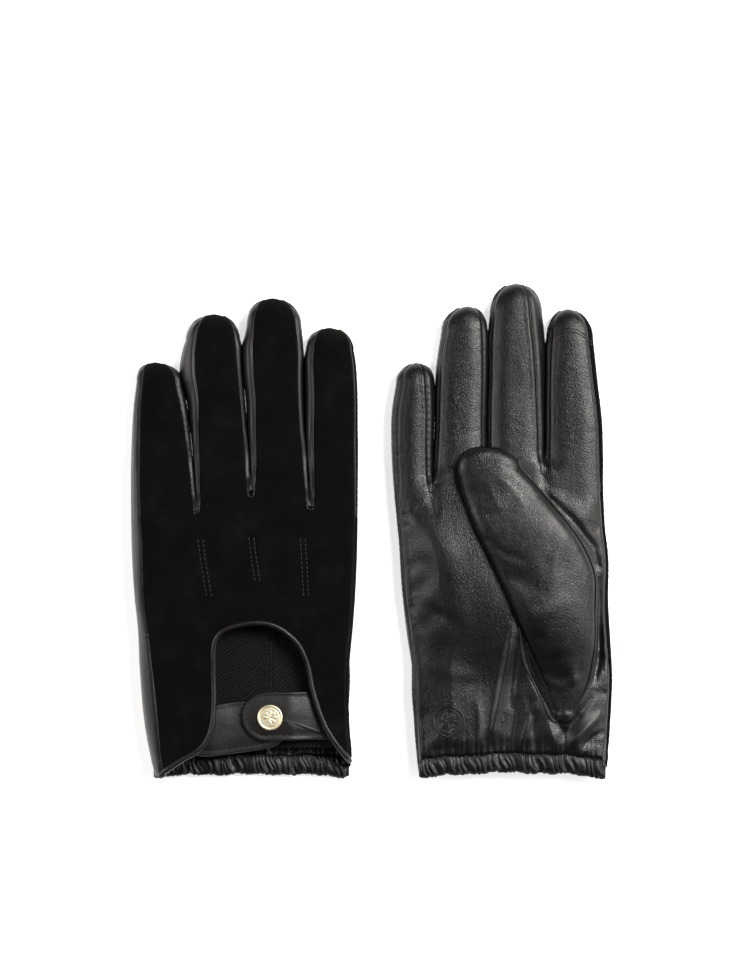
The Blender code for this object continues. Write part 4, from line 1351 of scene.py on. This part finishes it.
def make_lining(glove):
    """The lining's far face as the keyhole shows it, turned up at its edges, with its seam."""
    side, palm_up = glove["side"], glove["palm_up"]
    shift = glove["keyhole_shift"]
    x, y = np.meshgrid(np.linspace(-92.0, -14.0, 90) + shift, np.linspace(-2.0, -101.0, 110))
    low, high = skins(glove, x, y)
    fold = 0.5 * field_noise(x, y * 0.5, 9.0, 91.0) + 0.35 * field_noise(x, y, 3.0, 92.0)
    away, _ = path_distance(x, y, [(-47.1 + shift, -5.0), (-46.6 + shift, -70.0),
                                   (-47.4 + shift, -101.0)])
    seam = 1.0 * bell(away - 1.3, 1.2) - 0.9 * bell(away, 0.7)
    edge = np.minimum(x - x[:, :1], x[:, -1:] - x)
    curl = 3.6 * (1.0 - smooth_step(edge / 12.0))
    if palm_up:
        z = high - 3.4 - fold - seam - curl
    else:
        z = np.maximum(low, 7.0) + 2.6 + fold + seam + curl
    grid = np.stack([x, y, z], axis=-1)
    piece = make_piece(f"{side}_lining_bag", [patch(grid, flip=not palm_up)], LINING,
                       f"{side}_hand", [f"{side}_lining"])
    thicken(piece, 0.5)
    run = np.column_stack([np.full(60, -46.9 + shift), np.linspace(-34.0, -76.0, 60)])
    run = laid_on(grid, run, -0.2 if palm_up else 0.2)
    make_piece(f"{side}_lining_seam", [tube(run, 0.6, 8)], LINING, f"{side}_hand", weld=0)


def make_points(glove, back_skin):
    """Twin rows of stitches on the three points of the back."""
    side = glove["side"]
    outward = -1.0 if glove["palm_up"] else 1.0
    parts = []
    for line in POINTS:
        middle = smooth_path(shifted(line, glove["keyhole_shift"]), 1.5)
        for offset in (-1.15, 1.15):
            row = laid_on(back_skin, middle + [offset, 0.0], outward * 0.05)
            parts += stitches(row, 2.1, 1.5, 0.2)
    make_piece(f"{side}_point_stitches", parts, THREAD, f"{side}_hand", weld=0)


# ---- stage, camera and light -------------------------------------------------------------------
def area_light(name, place, target, size, power):
    """Warm rectangular lamp that faces a target."""
    light = bpy.data.lights.new(name, "AREA")
    light.shape = "RECTANGLE"
    light.size, light.size_y = size
    light.energy = power
    light.color = WARM
    lamp = bpy.data.objects.new(name, light)
    bpy.context.collection.objects.link(lamp)
    lamp.location = place
    lamp.rotation_euler = (Vector(target) - Vector(place)).to_track_quat("-Z", "Y").to_euler()


FLOOR_REACH, FLOOR_LEVEL = 3.0, -0.0004
FLOOR_COLOUR, FLOOR_GLOW, WORLD_LIGHT = 0.86, 0.66, 0.06
WARM = (1.0, 0.965, 0.93)
SENSOR = 36.0                   # mm
CAMERA_PLACE = (-0.0033, 0.0211, 1.6)
VIEW_HEIGHT, VIEW_LEVEL = 0.455, 0.012  # metres that the picture's height spans, at this level


def make_stage():
    """Pale floor, soft light and the camera straight above."""
    mesh = bpy.data.meshes.new("floor")
    corners = [(x, y, FLOOR_LEVEL) for x, y in ((-FLOOR_REACH, -FLOOR_REACH),
                                                (FLOOR_REACH, -FLOOR_REACH),
                                                (FLOOR_REACH, FLOOR_REACH),
                                                (-FLOOR_REACH, FLOOR_REACH))]
    mesh.from_pydata(corners, [], [(0, 1, 2, 3)])
    floor = bpy.data.objects.new("floor", mesh)
    bpy.context.collection.objects.link(floor)
    material = bpy.data.materials.new("floor_paper")
    material.use_nodes = True
    shader = material.node_tree.nodes["Principled BSDF"]
    shader.inputs["Base Color"].default_value = (*(FLOOR_COLOUR,) * 3, 1.0)
    shader.inputs["Roughness"].default_value = 0.9
    shader.inputs["Emission Color"].default_value = (1.0, 1.0, 1.0, 1.0)
    shader.inputs["Emission Strength"].default_value = FLOOR_GLOW
    mesh.materials.append(material)
    world = bpy.data.worlds.new("studio")
    world.use_nodes = True
    sky = world.node_tree.nodes["Background"]
    sky.inputs["Color"].default_value = (1.0, 1.0, 1.0, 1.0)
    sky.inputs["Strength"].default_value = WORLD_LIGHT
    bpy.context.scene.world = world
    area_light("key", (0.66, 0.42, 1.02), (0.0, 0.03, 0.0), (0.5, 0.5), 22.0)
    area_light("right_fill", (1.2, -0.2, 0.6), (0, 0, 0), (0.4, 1.2), 5.0)
    area_light("left_fill", (-1.2, 0.15, 0.7), (0, 0, 0), (0.4, 1.2), 11.0)
    camera = bpy.data.objects.new("camera", bpy.data.cameras.new("camera"))
    bpy.context.collection.objects.link(camera)
    camera.location = CAMERA_PLACE
    camera.data.sensor_width = SENSOR
    camera.data.lens = SENSOR * (CAMERA_PLACE[2] - VIEW_LEVEL) / VIEW_HEIGHT
    camera.data.clip_start = 0.01
    bpy.context.scene.camera = camera
    bpy.context.scene.view_settings.view_transform = "Standard"


make_stage()
for glove in (LEFT, RIGHT):
    grids = shell(glove)
    settle_hand(glove, grids)
    dress_fingers(glove, grids)
    dress_hand(glove, grids)
    match_forks(grids)
    cut_hand(glove, grids)
    for finger_number in range(len(FINGERS)):
        cut_finger(glove, grids, finger_number)
    fork_loops(glove, grids)
    make_thumb(glove)
    make_strap(glove)
    make_hem(glove)
    make_lining(glove)
    make_points(glove, grids["hand"][1 if glove["palm_up"] else 0])
    make_palm_seams(glove, grids)
    if glove["palm_up"]:
        make_medallion(grids["hand"][0])
